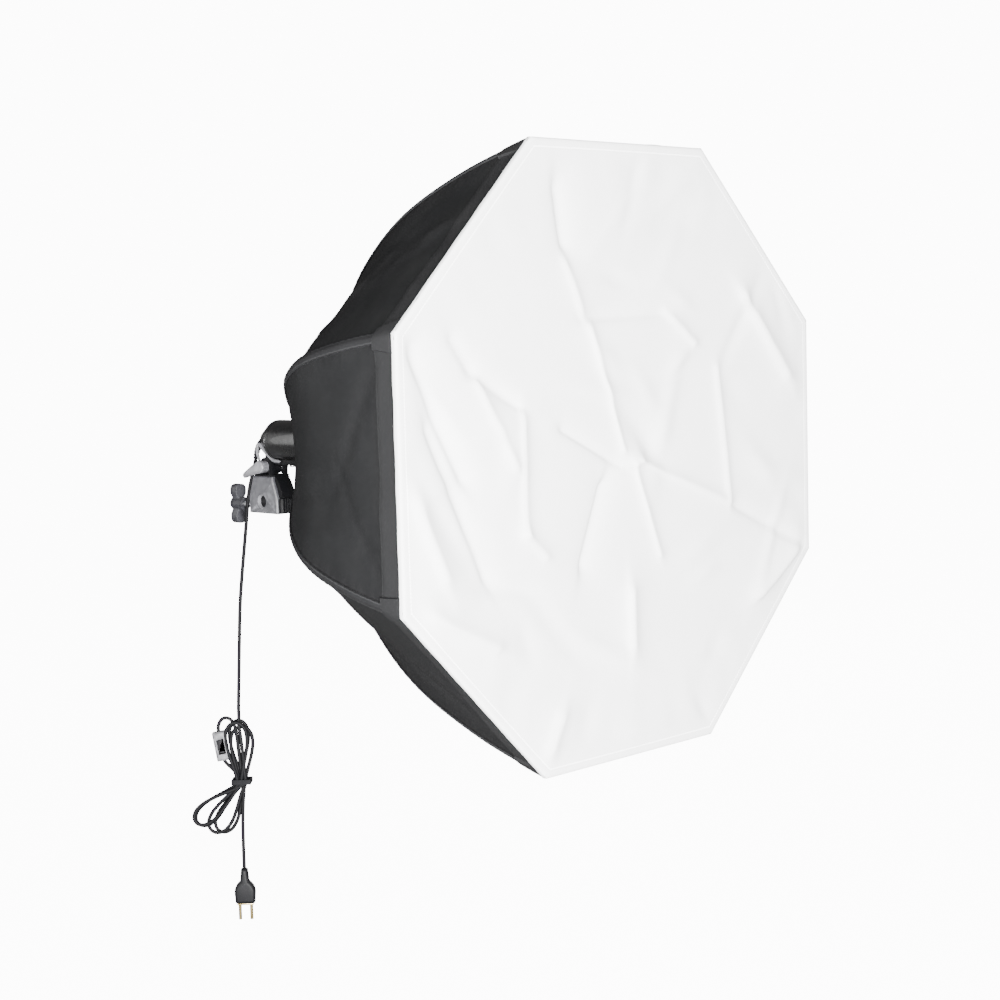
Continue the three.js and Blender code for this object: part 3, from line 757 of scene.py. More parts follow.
class Finishes:
    """Every material of the softbox, built once."""

    def __init__(self) -> None:
        """Builds the shader groups and then the materials."""
        g = Groups()
        # The shell's lighter hem strip is a painted highlight on its fold.
        self.shell = Cloth("shell_black_nylon", (0.0125, 0.0126, 0.0132), (0.0085, 0.0086, 0.0092), 0.78,
                           specular=0.1, dust=0.01, hem_stitch=0.0385, hem_highlight_band=0.040).build(g)
        self.lining = Cloth("shell_silver_lining", (0.62, 0.63, 0.64), (0.5, 0.5, 0.52), 0.38,
                            metallic=0.75, specular=0.5).build(g)
        self.binding = Cloth("seam_binding_tape", (0.0175, 0.0177, 0.0186), (0.0125, 0.0126, 0.0135), 0.66,
                             specular=0.12, threads=700.0, weave_depth=0.0002, side_stitch=0.0042).build(g)
        self.cuff = Cloth("neck_cuff_cloth", (0.0125, 0.0126, 0.0132), (0.0085, 0.0086, 0.0092), 0.76,
                          dust=0.02).build(g)
        self.diffuser = Cloth("diffuser_white_nylon", (0.84, 0.84, 0.84), (0.81, 0.81, 0.81), 0.8,
                              threads=1300.0, weave_depth=0.00006, sheen=0.08,
                              hem_stitch=0.0065).build(g)
        self.gloss = Hard("holder_gloss_black", (0.005, 0.005, 0.0052), 0.3, grain=260.0,
                          grain_depth=0.00001, coat=0.15, specular=0.4, dust=0.02, smudge=0.06).build(g)
        self.plastic = Hard("moulded_black_nylon", (0.0032, 0.0032, 0.004), 0.56, dust=0.01,
                            specular=0.15, grain=1400.0, grain_depth=0.00006).build(g)
        # The cast grey's lighter edge colour paints edge highlight on the block's rims, mixed with scuffs.
        self.casting = Hard("grey_cast_body", (0.037, 0.037, 0.042), 0.44, tone=0.14, edge_wear_and_light=0.9,
                            edge_wear_light_colour=(0.14, 0.14, 0.152), dust=0.04, grain=1100.0,
                            grain_depth=0.00008).build(g)
        # A lighter copy of the cast grey: painted highlight on the arm rims and the bore rings; the tilt
        # lever is coloured with it too.
        self.arm_highlight_rim = Hard("cast_grey_highlight_copy", (0.11, 0.11, 0.118), 0.36, tone=0.14, edge_wear_and_light=0.6,
                            edge_wear_light_colour=(0.22, 0.22, 0.235), dust=0.04, grain=1100.0).build(g)
        # The knob's near-black edge colour is painted shade: dark outlines round its lobes.
        self.knob = Hard("grey_moulded_knob", (0.023, 0.023, 0.027), 0.42, tone=0.15, edge_wear_and_light=1.0,
                         specular=0.3, edge_wear_light_colour=(0.008, 0.008, 0.01), dust=0.05, grain=1100.0).build(g)
        self.steel = Hard("plated_steel", (0.56, 0.57, 0.58), 0.3, metallic=1.0, dust=0.06).build(g)
        self.rod = Hard("spring_rod", (0.42, 0.43, 0.44), 0.34, metallic=0.85).build(g)
        self.brass = Hard("drawn_brass", (0.62, 0.48, 0.22), 0.32, metallic=1.0, dust=0.05).build(g)
        self.ceramic = Hard("glazed_ceramic", (0.78, 0.76, 0.7), 0.3, dust=0.06, coat=0.3).build(g)
        self.opal = Hard("opal_glass", (0.88, 0.87, 0.84), 0.28, tone=0.02, dust=0.05, coat=0.3).build(g)
        self.base = Hard("lamp_base_plastic", (0.8, 0.8, 0.78), 0.42, tone=0.04, dust=0.06).build(g)
        self.cord = Hard("black_cord_pvc", (0.0028, 0.0028, 0.0035), 0.66, tone=0.2, grain=700.0,
                         grain_depth=0.00002, dust=0.0, specular=0.12, smudge=0.05).build(g)
        self.relief = Hard("black_rubber", (0.004, 0.004, 0.005), 0.7, grain=1200.0, dust=0.01,
                           specular=0.1).build(g)
        self.light_plastic = Hard("grey_moulded_plastic", (0.05, 0.05, 0.056), 0.5, tone=0.1,
                                  edge_wear_and_light=0.4, dust=0.04, grain=1300.0).build(g)


# ------------------------------------------------------------------ studio


@dataclass
class Studio:
    """The camera, the soft lights, the white surround and the pale floor."""

    camera_at: tuple = (-1.4192, -1.7951, 0.2207)
    looking: tuple = (0.70559, 0.70244, -0.0934)
    camera_up: tuple = (0.08517, 0.04678, 0.99527)
    lens: float = 68.99
    floor_gap: float = 0.06
    fill: float = 0.16
    white: float = 12.0

    def camera(self) -> None:
        """Places the camera: its axes are right, up and the reverse of its sight line."""
        back = -Vector(self.looking).normalized()
        right = Vector(self.camera_up).cross(back).normalized()
        turned = Matrix((right, back.cross(right), back)).transposed().to_4x4()
        data = bpy.data.cameras.new("camera")
        data.lens = self.lens
        data.sensor_width = 36.0
        camera = bpy.data.objects.new("camera", data)
        camera.matrix_world = Matrix.Translation(self.camera_at) @ turned
        bpy.context.scene.collection.objects.link(camera)
        bpy.context.scene.camera = camera

    def surround(self) -> None:
        """A white surround: bright where the camera sees it, an even soft fill elsewhere."""
        world = bpy.data.worlds.new("white_surround")
        world.use_nodes = True
        bpy.context.scene.world = world
        s = Sketch(world.node_tree)
        seen = s.add("LightPath").outputs["Is Camera Ray"]
        soft = s.add("Background", {0: (1, 1, 1, 1), 1: self.fill})
        bright = s.add("Background", {0: (1, 1, 1, 1), 1: self.white})
        both = s.add("MixShader", {0: seen, 1: soft.outputs[0], 2: bright.outputs[0]})
        s.add("OutputWorld", {"Surface": both.outputs[0]})

    def floor(self, lowest: float) -> None:
        """A pale floor a little below the hanging plug, lit to near white.

        Args:
            lowest: The height of the object's lowest point.
        """
        half = 12.0
        z = lowest - self.floor_gap
        corners = np.array([[-half, -half, z], [half, -half, z], [half, half, z], [-half, half, z]])
        mesh = bpy.data.meshes.new("floor")
        mesh.from_pydata(corners.tolist(), [], [[0, 1, 2, 3]])
        material = bpy.data.materials.new("pale_floor")
        material.use_nodes = True
        s = Sketch(material.node_tree)
        seen = s.add("LightPath").outputs["Is Camera Ray"]
        matt = s.add("BsdfDiffuse", {0: (0.3, 0.3, 0.3, 1)})
        glow = s.add("Emission", {0: (1, 1, 1, 1), 1: self.white})
        lit = s.add("AddShader", {0: matt.outputs[0], 1: glow.outputs[0]})
        both = s.add("MixShader", {0: seen, 1: matt.outputs[0], 2: lit.outputs[0]})
        s.add("OutputMaterial", {"Surface": both.outputs[0]})
        mesh.materials.append(material)
        floor = bpy.data.objects.new("floor", mesh)
        bpy.context.scene.collection.objects.link(floor)

    def softlight(self, name: str, place: tuple, target: tuple, size: tuple, power: float) -> None:
        """An area light of a given width and height, turned towards a target."""
        data = bpy.data.lights.new(name, "AREA")
        data.shape = "RECTANGLE"
        data.size, data.size_y = size
        data.energy = power
        light = bpy.data.objects.new(name, data)
        light.location = place
        light.rotation_euler = (Vector(target) - Vector(place)).to_track_quat("-Z", "Y").to_euler()
        bpy.context.scene.collection.objects.link(light)

    def build(self, lowest: float) -> None:
        """Makes the surround, the floor and the lights."""
        self.surround()
        self.floor(lowest)
        centre = (0.0, -0.55, 0.09)
        self.softlight("front_key", (-1.75, -2.6, -0.05), centre, (0.9, 0.9), 600)
        self.softlight("left_rake", (-2.8, -1.5, 0.3), centre, (0.6, 0.6), 90)
        self.softlight("right_fill", (2.6, 1.3, 0.8), centre, (1.2, 1.2), 45)
        self.softlight("side_window", (-2.2, 2.2, 0.1), (0.0, 0.0, 0.05), (1.2, 3.4), 60)


# ------------------------------------------------------------------ the mains cord


@dataclass
class Loop:
    """One teardrop loop of the hank, from the tie out to a fold and back."""

    lean: float
    reach: float
    width: float
    layer: float


@dataclass
class MainsCord:
    """The mains cord: its drop from the strain relief, the tied hank and the tail to the plug."""

    diameter: float = 0.0045
    length: float = 1.82
    sides: int = 12
    step: float = 0.0025
    hank_x: float = -0.018
    hank_y: float = 0.059
    sideways: tuple = (-0.7036, 0.7106, 0.0)
    tie_z: float = -334.0

    def drop_route(self) -> Array:
        """The route from the strain relief down to the hank, in metres."""
        route = [
            (-4.7, 22.7, 63.6), (-6, 24, 56), (-8.5, 26.8, 42), (-10.5, 29.8, 28),
            (-11.5, 32.3, 14), (-12, 34.3, 0), (-12.5, 37.3, -20), (-13, 41.5, -45),
            (-14, 47, -80), (-15, 51, -112), (-16, 54.5, -160), (-17, 57, -205),
            (-18, 58.6, -240), (-18, 59, -254),
        ]
        return np.array(route) * MM

    def tail_route(self) -> Array:
        """The route from the hank down to the plug, in metres."""
        route = [
            (-15.9, 56.9, -341), (-16.8, 58, -356), (-17.8, 59, -378), (-18.2, 59.4, -400),
            (-18.2, 59.6, -425), (-18.2, 59.6, -440),
        ]
        return np.array(route) * MM

    def in_plane(self, places: Array) -> Array:
        """Points of the hank's upright plane as points of the frame.

        Args:
            places: Rows of sideways, up and through, in millimetres.
        Returns:
            Points in metres.
        """
        a = np.array(self.sideways)
        through = np.array([a[1], -a[0], 0.0])
        base = np.array([self.hank_x, self.hank_y, 0.0])
        p = np.asarray(places, float) * MM
        return base + p[:, :1] * a + p[:, 2:] * through + p[:, 1:2] * np.array([0, 0, 1.0])

    def loop(self, shape: Loop, start: tuple, end: tuple, turns: int = 14) -> Array:
        """A teardrop: out by L (1 - cos p) / 2, aside by W sin p (1 - cos p) / 2.

        p runs from 0 to a full turn while the base slides from one slot of the tie to the next.

        Args:
            shape: The loop's lean from straight down, reach, width and layer.
            start: Sideways and through of the slot where it leaves the tie.
            end: The slot where it comes back.
            turns: Points in the loop.
        Returns:
            Rows of sideways, up and through, in millimetres.
        """
        p = 2 * np.pi * (np.arange(turns) + 0.5) / turns
        share = p / (2 * np.pi)
        out = shape.reach * (1 - np.cos(p)) / 2
        aside = shape.width * np.sin(p) * (1 - np.cos(p)) / 2
        axis = np.array([np.sin(shape.lean), -np.cos(shape.lean)])
        square = np.array([-axis[1], axis[0]])
        slot = np.outer(1 - share, start) + np.outer(share, end)
        flat = out[:, None] * axis + aside[:, None] * square
        lift = (1 - np.cos(p)) / 2
        through = slot[:, 1] * (1 - lift) + shape.layer * lift
        return np.stack([slot[:, 0] + flat[:, 0], self.tie_z + flat[:, 1], through], axis=1)

    def hank_route(self) -> Array:
        """The wound part: a run down through the tie, then lower and upper loops in turn.

        The last upper loop goes round through the switch.
        """
        slots = [(-5.6, -4.6), (-1.0, -4.6), (3.6, -4.6), (-5.6, 0.0), (3.6, 0.0),
                 (3.6, 4.6), (-1.0, 4.6), (-5.6, 4.6), (-1.6, 0.0)]
        lower = [Loop(0.92, 76, 19.0, -4.4), Loop(0.56, 70, 18.3, -1.6),
                 Loop(0.80, 72, 18.6, 4.2), Loop(0.48, 68, 18.1, 2.6)]
        upper = [Loop(np.pi - 0.04, 76, 19.0, -4.6), Loop(np.pi + 0.03, 70, 18.3, 0.0),
                 Loop(np.pi, 77, 19.1, 4.6)]
        to_switch = [(6, -322, 4.0), (13, -314, 2.4), (19.6, -305, 0), (21.0, -296, 0),
                     (22.5, -287, 0), (24.0, -278, 0), (25.2, -270, 0), (25.0, -261, 0.4),
                     (19.5, -253.5, 1.0), (11.5, -254.0, 1.0), (6.0, -262, 0.8), (3.4, -276, 0.6),
                     (2.0, -292, 0.4), (0.4, -310, 0.2), (-0.8, -322, 0.0)]
        top = [(0.6, -258, -0.6), (-1.4, -274, -2.4), (-3.6, -296, -4.0), (-5.0, -318, -4.6)]
        parts = [top]
        for i, shape in enumerate(lower):
            parts.append([(slots[2 * i][0], self.tie_z, slots[2 * i][1])])
            parts.append(self.loop(shape, slots[2 * i], slots[2 * i + 1]))
            parts.append([(slots[2 * i + 1][0], self.tie_z, slots[2 * i + 1][1])])
            if i < len(upper):
                parts.append(self.loop(upper[i], slots[2 * i + 1], slots[2 * i + 2]))
        parts += [to_switch, [(slots[8][0], self.tie_z, slots[8][1])]]
        return self.in_plane(np.vstack([np.array(p, float) for p in parts]))

    def build(self, finishes: Finishes, with_pieces: list[Piece]) -> Piece:
        """Args:
            finishes: The materials.
            with_pieces: The tie, switch and plug that are on it; not used.
        Returns:
            The cord.
        """
        route = np.vstack([self.drop_route(), self.hank_route(), self.tail_route()])
        path = smooth_path(route, self.step)
        reference = np.array([self.sideways[1], -self.sideways[0], 0.0])
        radius = self.diameter / 2
        grid = carried_ring(path, np.full(len(path), radius), self.sides, reference)
        points, faces = capped_tube(grid)
        cord = make_piece("mains_cord", points, faces, [finishes.cord], None,
                          uv=tube_uv(path, radius, self.sides))
        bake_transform(cord)
        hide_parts("cord_drop", "cord_hank", "cord_tail")
        log.info("cord: %.3f m", path_length(path))
        return cord


# ------------------------------------------------------------------ the shell


@dataclass
class ShellCloth:
    """Eight black panels sewn edge to edge over the ribs, silver inside, with taped seams."""

    half_flat: float
    axis_z: float
    face_y: float
    bands: int = 5
    rows_per_band: int = 32
    half_columns: int = 24
    cloth: float = 0.0012
    sag: float = 0.007
    hem: float = 0.040
    hem_lift: float = 0.0009
    fold_angle: float = np.radians(30.0)
    pivot_r: float = 0.055
    pivot_depth: float = 0.420
    tab_start: int = 2

    def knots(self) -> Array:
        """The profile over a rib: rows of depth behind the face and radius, in metres."""
        rim = self.half_flat / np.cos(SECTOR / 2) / MM
        return np.array([(0, rim), (100, 299), (200, 262), (278, 215), (340, 160), (390, 106),
                         (424, 68)], float) * MM

    @property
    def rows(self) -> int:
        """Rows of points from the rim to the neck."""
        return self.bands * self.rows_per_band + 1

    def profile(self) -> Array:
        """The profile at every row."""
        return even_spline(self.knots(), np.linspace(0, 1, self.rows))

    def run(self) -> Array:
        """Metres along the rib from the rim, at every row."""
        p = self.profile()
        return np.concatenate([[0], np.cumsum(np.linalg.norm(np.diff(p, axis=0), axis=1))])

    def turn(self, rib: float) -> float:
        """The angle of a rib round the lamp axis. Half numbers are mid-panel."""
        return SECTOR * (rib + 0.5)

    def round_axis(self, rib: int) -> Array:
        """The direction round the lamp axis at a rib."""
        a = self.turn(rib)
        return np.array([-np.sin(a), 0.0, np.cos(a)])

    def wrinkles(self, panel: int, s: Array, run: Array) -> Array:
        """Soft folds: long gaussian ridges from rim to neck, leaning more the nearer a seam.

        Each is A exp(-(x/l)^2 - (y/w)^2) in its own turned frame, and all fade to nothing at
        the panel's edges.

        Args:
            panel: Which panel, for its own draws.
            s: Place across the panel, 0 to 1, as a row.
            run: Metres from the rim, as a column.
        Returns:
            Heights in metres.
        """
        draw = np.random.default_rng(SEED + panel)
        height = np.zeros(np.broadcast_shapes(s.shape, run.shape))
        for _ in range(11):
            at_s, at_run = draw.uniform(0.12, 0.88), draw.uniform(0.01, 0.47)
            lean = draw.normal(0, 0.35) + (0.5 - at_s) * 0.9
            long, wide = draw.uniform(0.05, 0.14), draw.uniform(0.006, 0.018)
            tall = draw.uniform(0.0006, 0.0018) * draw.choice([-1, 1])
            x, y = run - at_run, (s - at_s) * 0.22
            u = x * np.cos(lean) + y * np.sin(lean)
            v = -x * np.sin(lean) + y * np.cos(lean)
            height += tall * np.exp(-(u / long)**2 - (v / wide)**2)
        edge = bump(s / 0.12) * bump((1 - s) / 0.12)
        return height * edge

    def puckers(self, panel: int, s: Array, run: Array, width: Array) -> Array:
        """Puckers along both seams: a wavy height times exp(-d / 9 mm), d being metres from the seam."""
        draw = np.random.default_rng(SEED + 50 + panel)
        phase = np.cumsum(draw.normal(0, 0.35, run.shape), axis=0)
        wave = np.sin(2 * np.pi * run / 0.019 + phase)
        from_seam = np.minimum(s, 1 - s) * width
        return 0.0004 * wave * np.exp(-from_seam / 0.009) * bump(from_seam / 0.003)

    def panel(self, panel: int) -> tuple[Array, Array, Array]:
        """One panel between two ribs: straight from rib to rib, then sunk along its normal.

        The sink is sag sin(pi t)(1 - (2s - 1)^2), and wrinkles, puckers and the hem stand on it.

        Args:
            panel: The panel's number. It lies between ribs of that number and the next.
        Returns:
            Its points, its outward normals and its map in metres, as grids.
        """
        profile, run = self.profile(), self.run()[:, None]
        t = np.linspace(0, 1, self.rows)[:, None]
        s = np.linspace(0, 1, 2 * self.half_columns + 1)[None, :]
        ends = [self.turn(panel + k) for k in (0, 1)]
        edge = [np.stack([profile[:, 1] * np.cos(a), self.face_y + profile[:, 0],
                          self.axis_z + profile[:, 1] * np.sin(a)], axis=1) for a in ends]
        flat = edge[0][:, None] * (1 - s[..., None]) + edge[1][:, None] * s[..., None]
        middle = self.turn(panel + 0.5)
        slope = unit(np.gradient(profile, axis=0))
        radial = slope[:, 0]
        outward = np.stack([radial * np.cos(middle), -slope[:, 1], radial * np.sin(middle)], axis=1)
        width = np.linalg.norm(edge[1] - edge[0], axis=1)[:, None]
        lift = -self.sag * np.sin(np.pi * t) * (1 - (2 * s - 1)**2)
        lift = lift + self.wrinkles(panel, s, run) + self.puckers(panel, s, run, width)
        lift = lift + self.hem_lift * bump((self.hem - run) / 0.002)
        points = flat + lift[..., None] * outward[:, None]
        normals = unit(np.cross(np.gradient(points, axis=1), np.gradient(points, axis=0)))
        if (normals * outward[:, None]).sum() < 0:
            normals = -normals
        uv = np.stack(np.broadcast_arrays(run, (s - 0.5) * width), axis=-1)
        return points, normals, uv

    def slab(self, points: Array, normals: Array, uv: Array, start: int) -> tuple:
        """A closed piece of cloth: an outer and an inner wall, and four edges between them.

        Args:
            points: Outer points, as a grid.
            normals: Outward normals, as a grid.
            uv: The map, as a grid.
            start: The number of the first point.
        Returns:
            Points, normals, map, and the faces of the outer wall, the inner wall and the edges.
        """
        rows, columns = points.shape[:2]
        count = rows * columns
        outer = grid_quads(rows, columns, start=start)
        inner = grid_quads(rows, columns, start=start + count)[:, ::-1]
        index = np.arange(count).reshape(rows, columns) + start
        ring = np.concatenate([index[0, :-1], index[:-1, -1], index[-1, :0:-1], index[:0:-1, 0]])
        after = np.roll(ring, -1)
        edges = np.stack([ring, ring + count, after + count, after], axis=1)
        both = np.vstack([points.reshape(-1, 3), (points - normals * self.cloth).reshape(-1, 3)])
        facing = np.vstack([normals.reshape(-1, 3), -normals.reshape(-1, 3)])
        return both, facing, np.vstack([uv.reshape(-1, 2)] * 2), (outer, inner, edges)

    def gore(self, rib: int, panels: list, finishes: Finishes) -> list[Piece]:
        """The cloth either side of one rib, cut into bands.

        Args:
            rib: The rib, from 0.
            panels: Every panel's points, normals and map.
            finishes: The materials.
        Returns:
            The bands, from the rim to the neck.
        """
        pieces = []
        half = self.half_columns
        sides = [(panels[rib], slice(0, half + 1)), (panels[rib - 1], slice(half, 2 * half + 1))]
        a = self.turn(rib)
        for band in range(self.bands):
            rows = slice(band * self.rows_per_band, (band + 1) * self.rows_per_band + 1)
            points, facing, uv, faces, silver, start = [], [], [], [], [], 0
            for (grid, normals, place), columns in sides:
                p, f, m, (outer, inner, edges) = self.slab(
                    grid[rows, columns], normals[rows, columns], place[rows, columns], start)
                points.append(p)
                facing.append(f)
                uv.append(m)
                faces += [outer, inner, edges]
                silver += [np.zeros(len(outer)), np.ones(len(inner)), np.zeros(len(edges))]
                start += len(p)
            piece = make_piece(f"shell_gore_{rib + 1}_band_{band + 1}", np.vstack(points),
                               np.vstack(faces).tolist(), [finishes.shell, finishes.lining],
                               rib_body(rib), uv=np.vstack(uv))
            index = np.concatenate(silver).astype(np.int32)
            piece.data.polygons.foreach_set("material_index", index)
            piece.data.normals_split_custom_set_from_vertices(np.vstack(facing).tolist())
            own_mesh(piece)
            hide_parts(f"shell_gore_{rib + 1}")
            pieces.append(piece)
        return pieces

    def rib_frame(self, rib: int) -> tuple[Array, Array, Array]:
        """Along one rib: its points, the outward direction and the direction round the axis."""
        a = self.turn(rib)
        profile = self.profile()
        slope = unit(np.gradient(profile, axis=0))
        points = np.stack([profile[:, 1] * np.cos(a), self.face_y + profile[:, 0],
                           self.axis_z + profile[:, 1] * np.sin(a)], axis=1)
        outward = np.stack([slope[:, 0] * np.cos(a), -slope[:, 1], slope[:, 0] * np.sin(a)], axis=1)
        return points, outward, np.broadcast_to(self.round_axis(rib), points.shape)

    def seam_tape(self, rib: int, finishes: Finishes) -> Piece:
        """The folded tape over a seam: a low rounded ridge that drapes to both panels.

        At x from its middle the height is lift - tan(22.5 deg)(sqrt(x^2 + c^2) - c).

        Args:
            rib: The rib, from 0.
            finishes: The materials.
        Returns:
            The tape.
        """
        points, outward, around = self.rib_frame(rib)
        half_width, crest, lift, thick = 0.0052, 0.0016, 0.0013, 0.0016
        drop = np.tan(SECTOR / 2)
        x = np.linspace(-1, 1, 13) * half_width
        top = lift - drop * (np.sqrt(x**2 + crest**2) - crest)
        under = top[::-1] - thick
        draw = np.random.default_rng(SEED + 80 + rib)
        wave = 0.00035 * np.sin(2 * np.pi * self.run() / 0.013 + np.cumsum(draw.normal(0, 0.3, self.rows)))
        across = np.concatenate([x, x[::-1]])
        height = np.concatenate([top, under])
        grid = (points[:, None] + around[:, None] * (across[None, :, None] + wave[:, None, None])
                + outward[:, None] * height[None, :, None])
        verts, faces = capped_tube(grid)
        uv = np.stack(np.broadcast_arrays(self.run()[:, None], across[None, :]), axis=-1)
        uv = np.vstack([uv.reshape(-1, 2), [[0, 0], [self.run()[-1], 0]]])
        return flat_angle(make_piece(f"seam_tape_{rib + 1}", verts, faces, [finishes.binding],
                                     rib_body(rib), uv=uv), 50)

    def corner_tab(self, rib: int, finishes: Finishes) -> Piece:
        """The doubled corner patch over the pocket for a rib's tip, just behind the rim.

        It is the tape's section made wider, narrowing from the rim, with its height swelling as
        1 - z^4 over the pocket.

        Args:
            rib: The rib, from 0.
            finishes: The materials.
        Returns:
            The patch.
        """
        rows, crest, lift, thick, swell = 11, 0.003, 0.0019, 0.0028, 0.0004
        span = slice(self.tab_start, self.tab_start + rows)
        points, outward, around = (part[span] for part in self.rib_frame(rib))
        half = np.linspace(0.0165, 0.0105, rows)
        x = np.linspace(-1, 1, 17)
        drop = np.tan(SECTOR / 2)
        across = half[:, None] * x[None, :]
        top = lift - drop * (np.sqrt(across**2 + crest**2) - crest)
        z = np.linspace(-1, 1, rows)[:, None]
        top = top + swell * (1 - z**4)
        both = np.concatenate([across, across[:, ::-1]], axis=1)
        height = np.concatenate([top, top[:, ::-1] - thick], axis=1)
        grid = points[:, None] + around[:, None] * both[..., None] + outward[:, None] * height[..., None]
        verts, faces = capped_tube(grid)
        uv = np.stack(np.broadcast_arrays(self.run()[span, None], both), axis=-1).reshape(-1, 2)
        uv = np.vstack([uv, [[0, 0], [0.03, 0]]])
        return flat_angle(make_piece(f"corner_tab_{rib + 1}", verts, faces, [finishes.shell],
                                     rib_body(rib), uv=uv), 50)

    def build(self, finishes: Finishes) -> None:
        """Makes every gore, tape and corner tab."""
        panels = [self.panel(k) for k in range(RIBS)]
        for rib in range(RIBS):
            self.gore(rib, panels, finishes)
            self.seam_tape(rib, finishes)
            self.corner_tab(rib, finishes)


# ------------------------------------------------------------------ the diffuser


@dataclass
class Crease:
    """A packing crease: from one place on the face to another, in shares of the half width."""

    start: tuple
    end: tuple
    height: float
    width: float


@dataclass
class Diffuser:
    """The white front cloth: a stretched octagon with packing creases and a turned lip."""

    half_flat: float
    axis_z: float
    face_y: float
    rings: int = 104
    around: int = 416
    lip: float = 0.004
    lip_rings: int = 5
    stand_off: float = 0.0016
    cloth: float = 0.0005

    def creases(self) -> list[Crease]:
        """The sharp fold lines and the softer, broader ones."""
        sharp = [
            ((-.69, .28), (-.49, .17)), ((-.49, .17), (-.49, -.22)), ((-.49, -.22), (-.40, -.30)),
            ((-.30, .09), (-.01, -.05)), ((-.01, -.05), (.06, -.03)), ((.06, -.03), (.54, -.21)),
            ((.54, -.21), (.96, -.40)), ((-.17, .41), (-.02, .01)), ((.03, -.04), (.15, -.35)),
            ((-.20, .44), (.22, .45)), ((.22, .45), (.35, .35)), ((.47, .26), (.53, -.20)),
            ((-.78, .39), (-.71, .30)), ((-.68, .26), (-.53, -.01)), ((-.28, .62), (-.20, .45)),
        ]
        soft = [
            ((-.95, .35), (-.74, -.03)), ((-.96, -.08), (-.85, -.32)), ((-.90, -.44), (-.64, -.56)),
            ((-.31, .85), (-.28, .68)), ((-.36, -.81), (-.42, -.92)), ((-.01, -.46), (-.01, -.63)),
            ((-.88, .12), (-.66, -.34)), ((.62, .50), (.86, .22)), ((.70, -.55), (.92, -.42)),
            ((-.12, -.10), (-.22, -.34)),
        ]
        lines = [Crease(a, b, 0.0044, 0.0062) for a, b in sharp]
        return lines + [Crease(a, b, 0.0075, 0.013) for a, b in soft]

    def relief(self, u: Array, v: Array) -> Array:
        """Height of the cloth towards the viewer.

        A crease is A exp(-d / w), with d the distance to its line and its crest rounded over
        0.8 mm, and one side of it is stronger than the other. Every third one is a groove. With
        them lie seeded wrinkles, each A exp(-(x/l)^2 - (y/w)^2) in its own turned frame, drag
        lines near the rim and a shallow sink of the whole face to its middle.

        Args:
            u: Metres right of the centre.
            v: Metres above it.
        Returns:
            Heights in metres.
        """
        draw = np.random.default_rng(SEED + 7)
        crest, wrinkles, drags, drag_tall, sink = 0.0008, 48, 5, 0.00022, 0.0012
        height = np.zeros_like(u)
        for n, crease in enumerate(self.creases()):
            a = np.array(crease.start) * self.half_flat
            b = np.array(crease.end) * self.half_flat
            along = b - a
            size = np.linalg.norm(along)
            along = along / size
            x = (u - a[0]) * along[0] + (v - a[1]) * along[1]
            y = (v - a[1]) * along[0] - (u - a[0]) * along[1]
            past = np.maximum(np.maximum(-x, x - size), 0)
            d = np.sqrt(y**2 + past**2 + crest**2)
            side = 1 + 0.5 * np.tanh(y / 0.004)
            height += (1 if n % 3 else -1) * crease.height * side * np.exp(-d / crease.width)
        for _ in range(wrinkles):
            at = draw.uniform(-0.28, 0.28, 2)
            lean = draw.uniform(0, np.pi)
            long, wide = draw.uniform(0.02, 0.075), draw.uniform(0.006, 0.014)
            tall = draw.uniform(0.0009, 0.0028) * draw.choice([-1, 1])
            x = (u - at[0]) * np.cos(lean) + (v - at[1]) * np.sin(lean)
            y = (v - at[1]) * np.cos(lean) - (u - at[0]) * np.sin(lean)
            height += tall * np.exp(-(x / long)**2 - (y / wide)**2)
        r = np.hypot(u, v) / self.half_flat
        angle = np.arctan2(v, u)
        drag = np.zeros_like(u)
        for _ in range(drags):
            count, phase = draw.integers(17, 41), draw.uniform(0, 2 * np.pi)
            drag += np.sin(count * angle + phase)
        return height + drag_tall * drag * bump((r - 0.7) / 0.3) - sink * (1 - r**2)

    def grid(self) -> tuple[Array, Array]:
        """Rings from near the centre to the rim, round the edge and back along the lip.

        The ring's reach at an angle is half_flat / cos(angle from the nearest flat).

        Returns:
            The points and their map in metres, as grids.
        """
        angle = SECTOR / 2 + np.linspace(0, 2 * np.pi, self.around, endpoint=False)
        off = angle - np.round(angle / SECTOR) * SECTOR
        reach = 1 / np.cos(off)
        share = np.linspace(0.0, 1.0, self.rings + 1)[1:, None]
        u = share * reach * np.cos(angle) * self.half_flat
        v = share * reach * np.sin(angle) * self.half_flat
        front = self.face_y - 0.0018 - self.relief(u, v) * bump((1 - share) / 0.09)
        face = np.stack([u, front, self.axis_z + v], axis=-1)
        turn = np.linspace(0, 1, self.lip_rings + 1)[1:, None]
        rise = np.minimum(turn * 4, 1)
        reach_lip = self.half_flat + self.stand_off * np.sin(rise * np.pi / 2)
        back = self.face_y - 0.0018 * np.cos(rise * np.pi / 2) + self.lip * np.maximum(turn - 0.25, 0) / 0.75
        back = back + 0.0006 * np.sin(40 * angle) * np.maximum(turn - 0.5, 0)
        lip = np.stack(np.broadcast_arrays(reach_lip * reach * np.cos(angle), back,
                                           self.axis_z + reach_lip * reach * np.sin(angle)), axis=-1)
        points = np.concatenate([face, lip])
        edge = self.half_flat * (1 - share) / np.maximum(reach, 1)
        from_rim = np.concatenate([np.broadcast_to(edge + 0.0, u.shape),
                                   np.broadcast_to(-self.lip * turn, lip.shape[:2])])
        around = np.broadcast_to(angle * self.half_flat, from_rim.shape)
        return points, np.stack([from_rim, around], axis=-1)

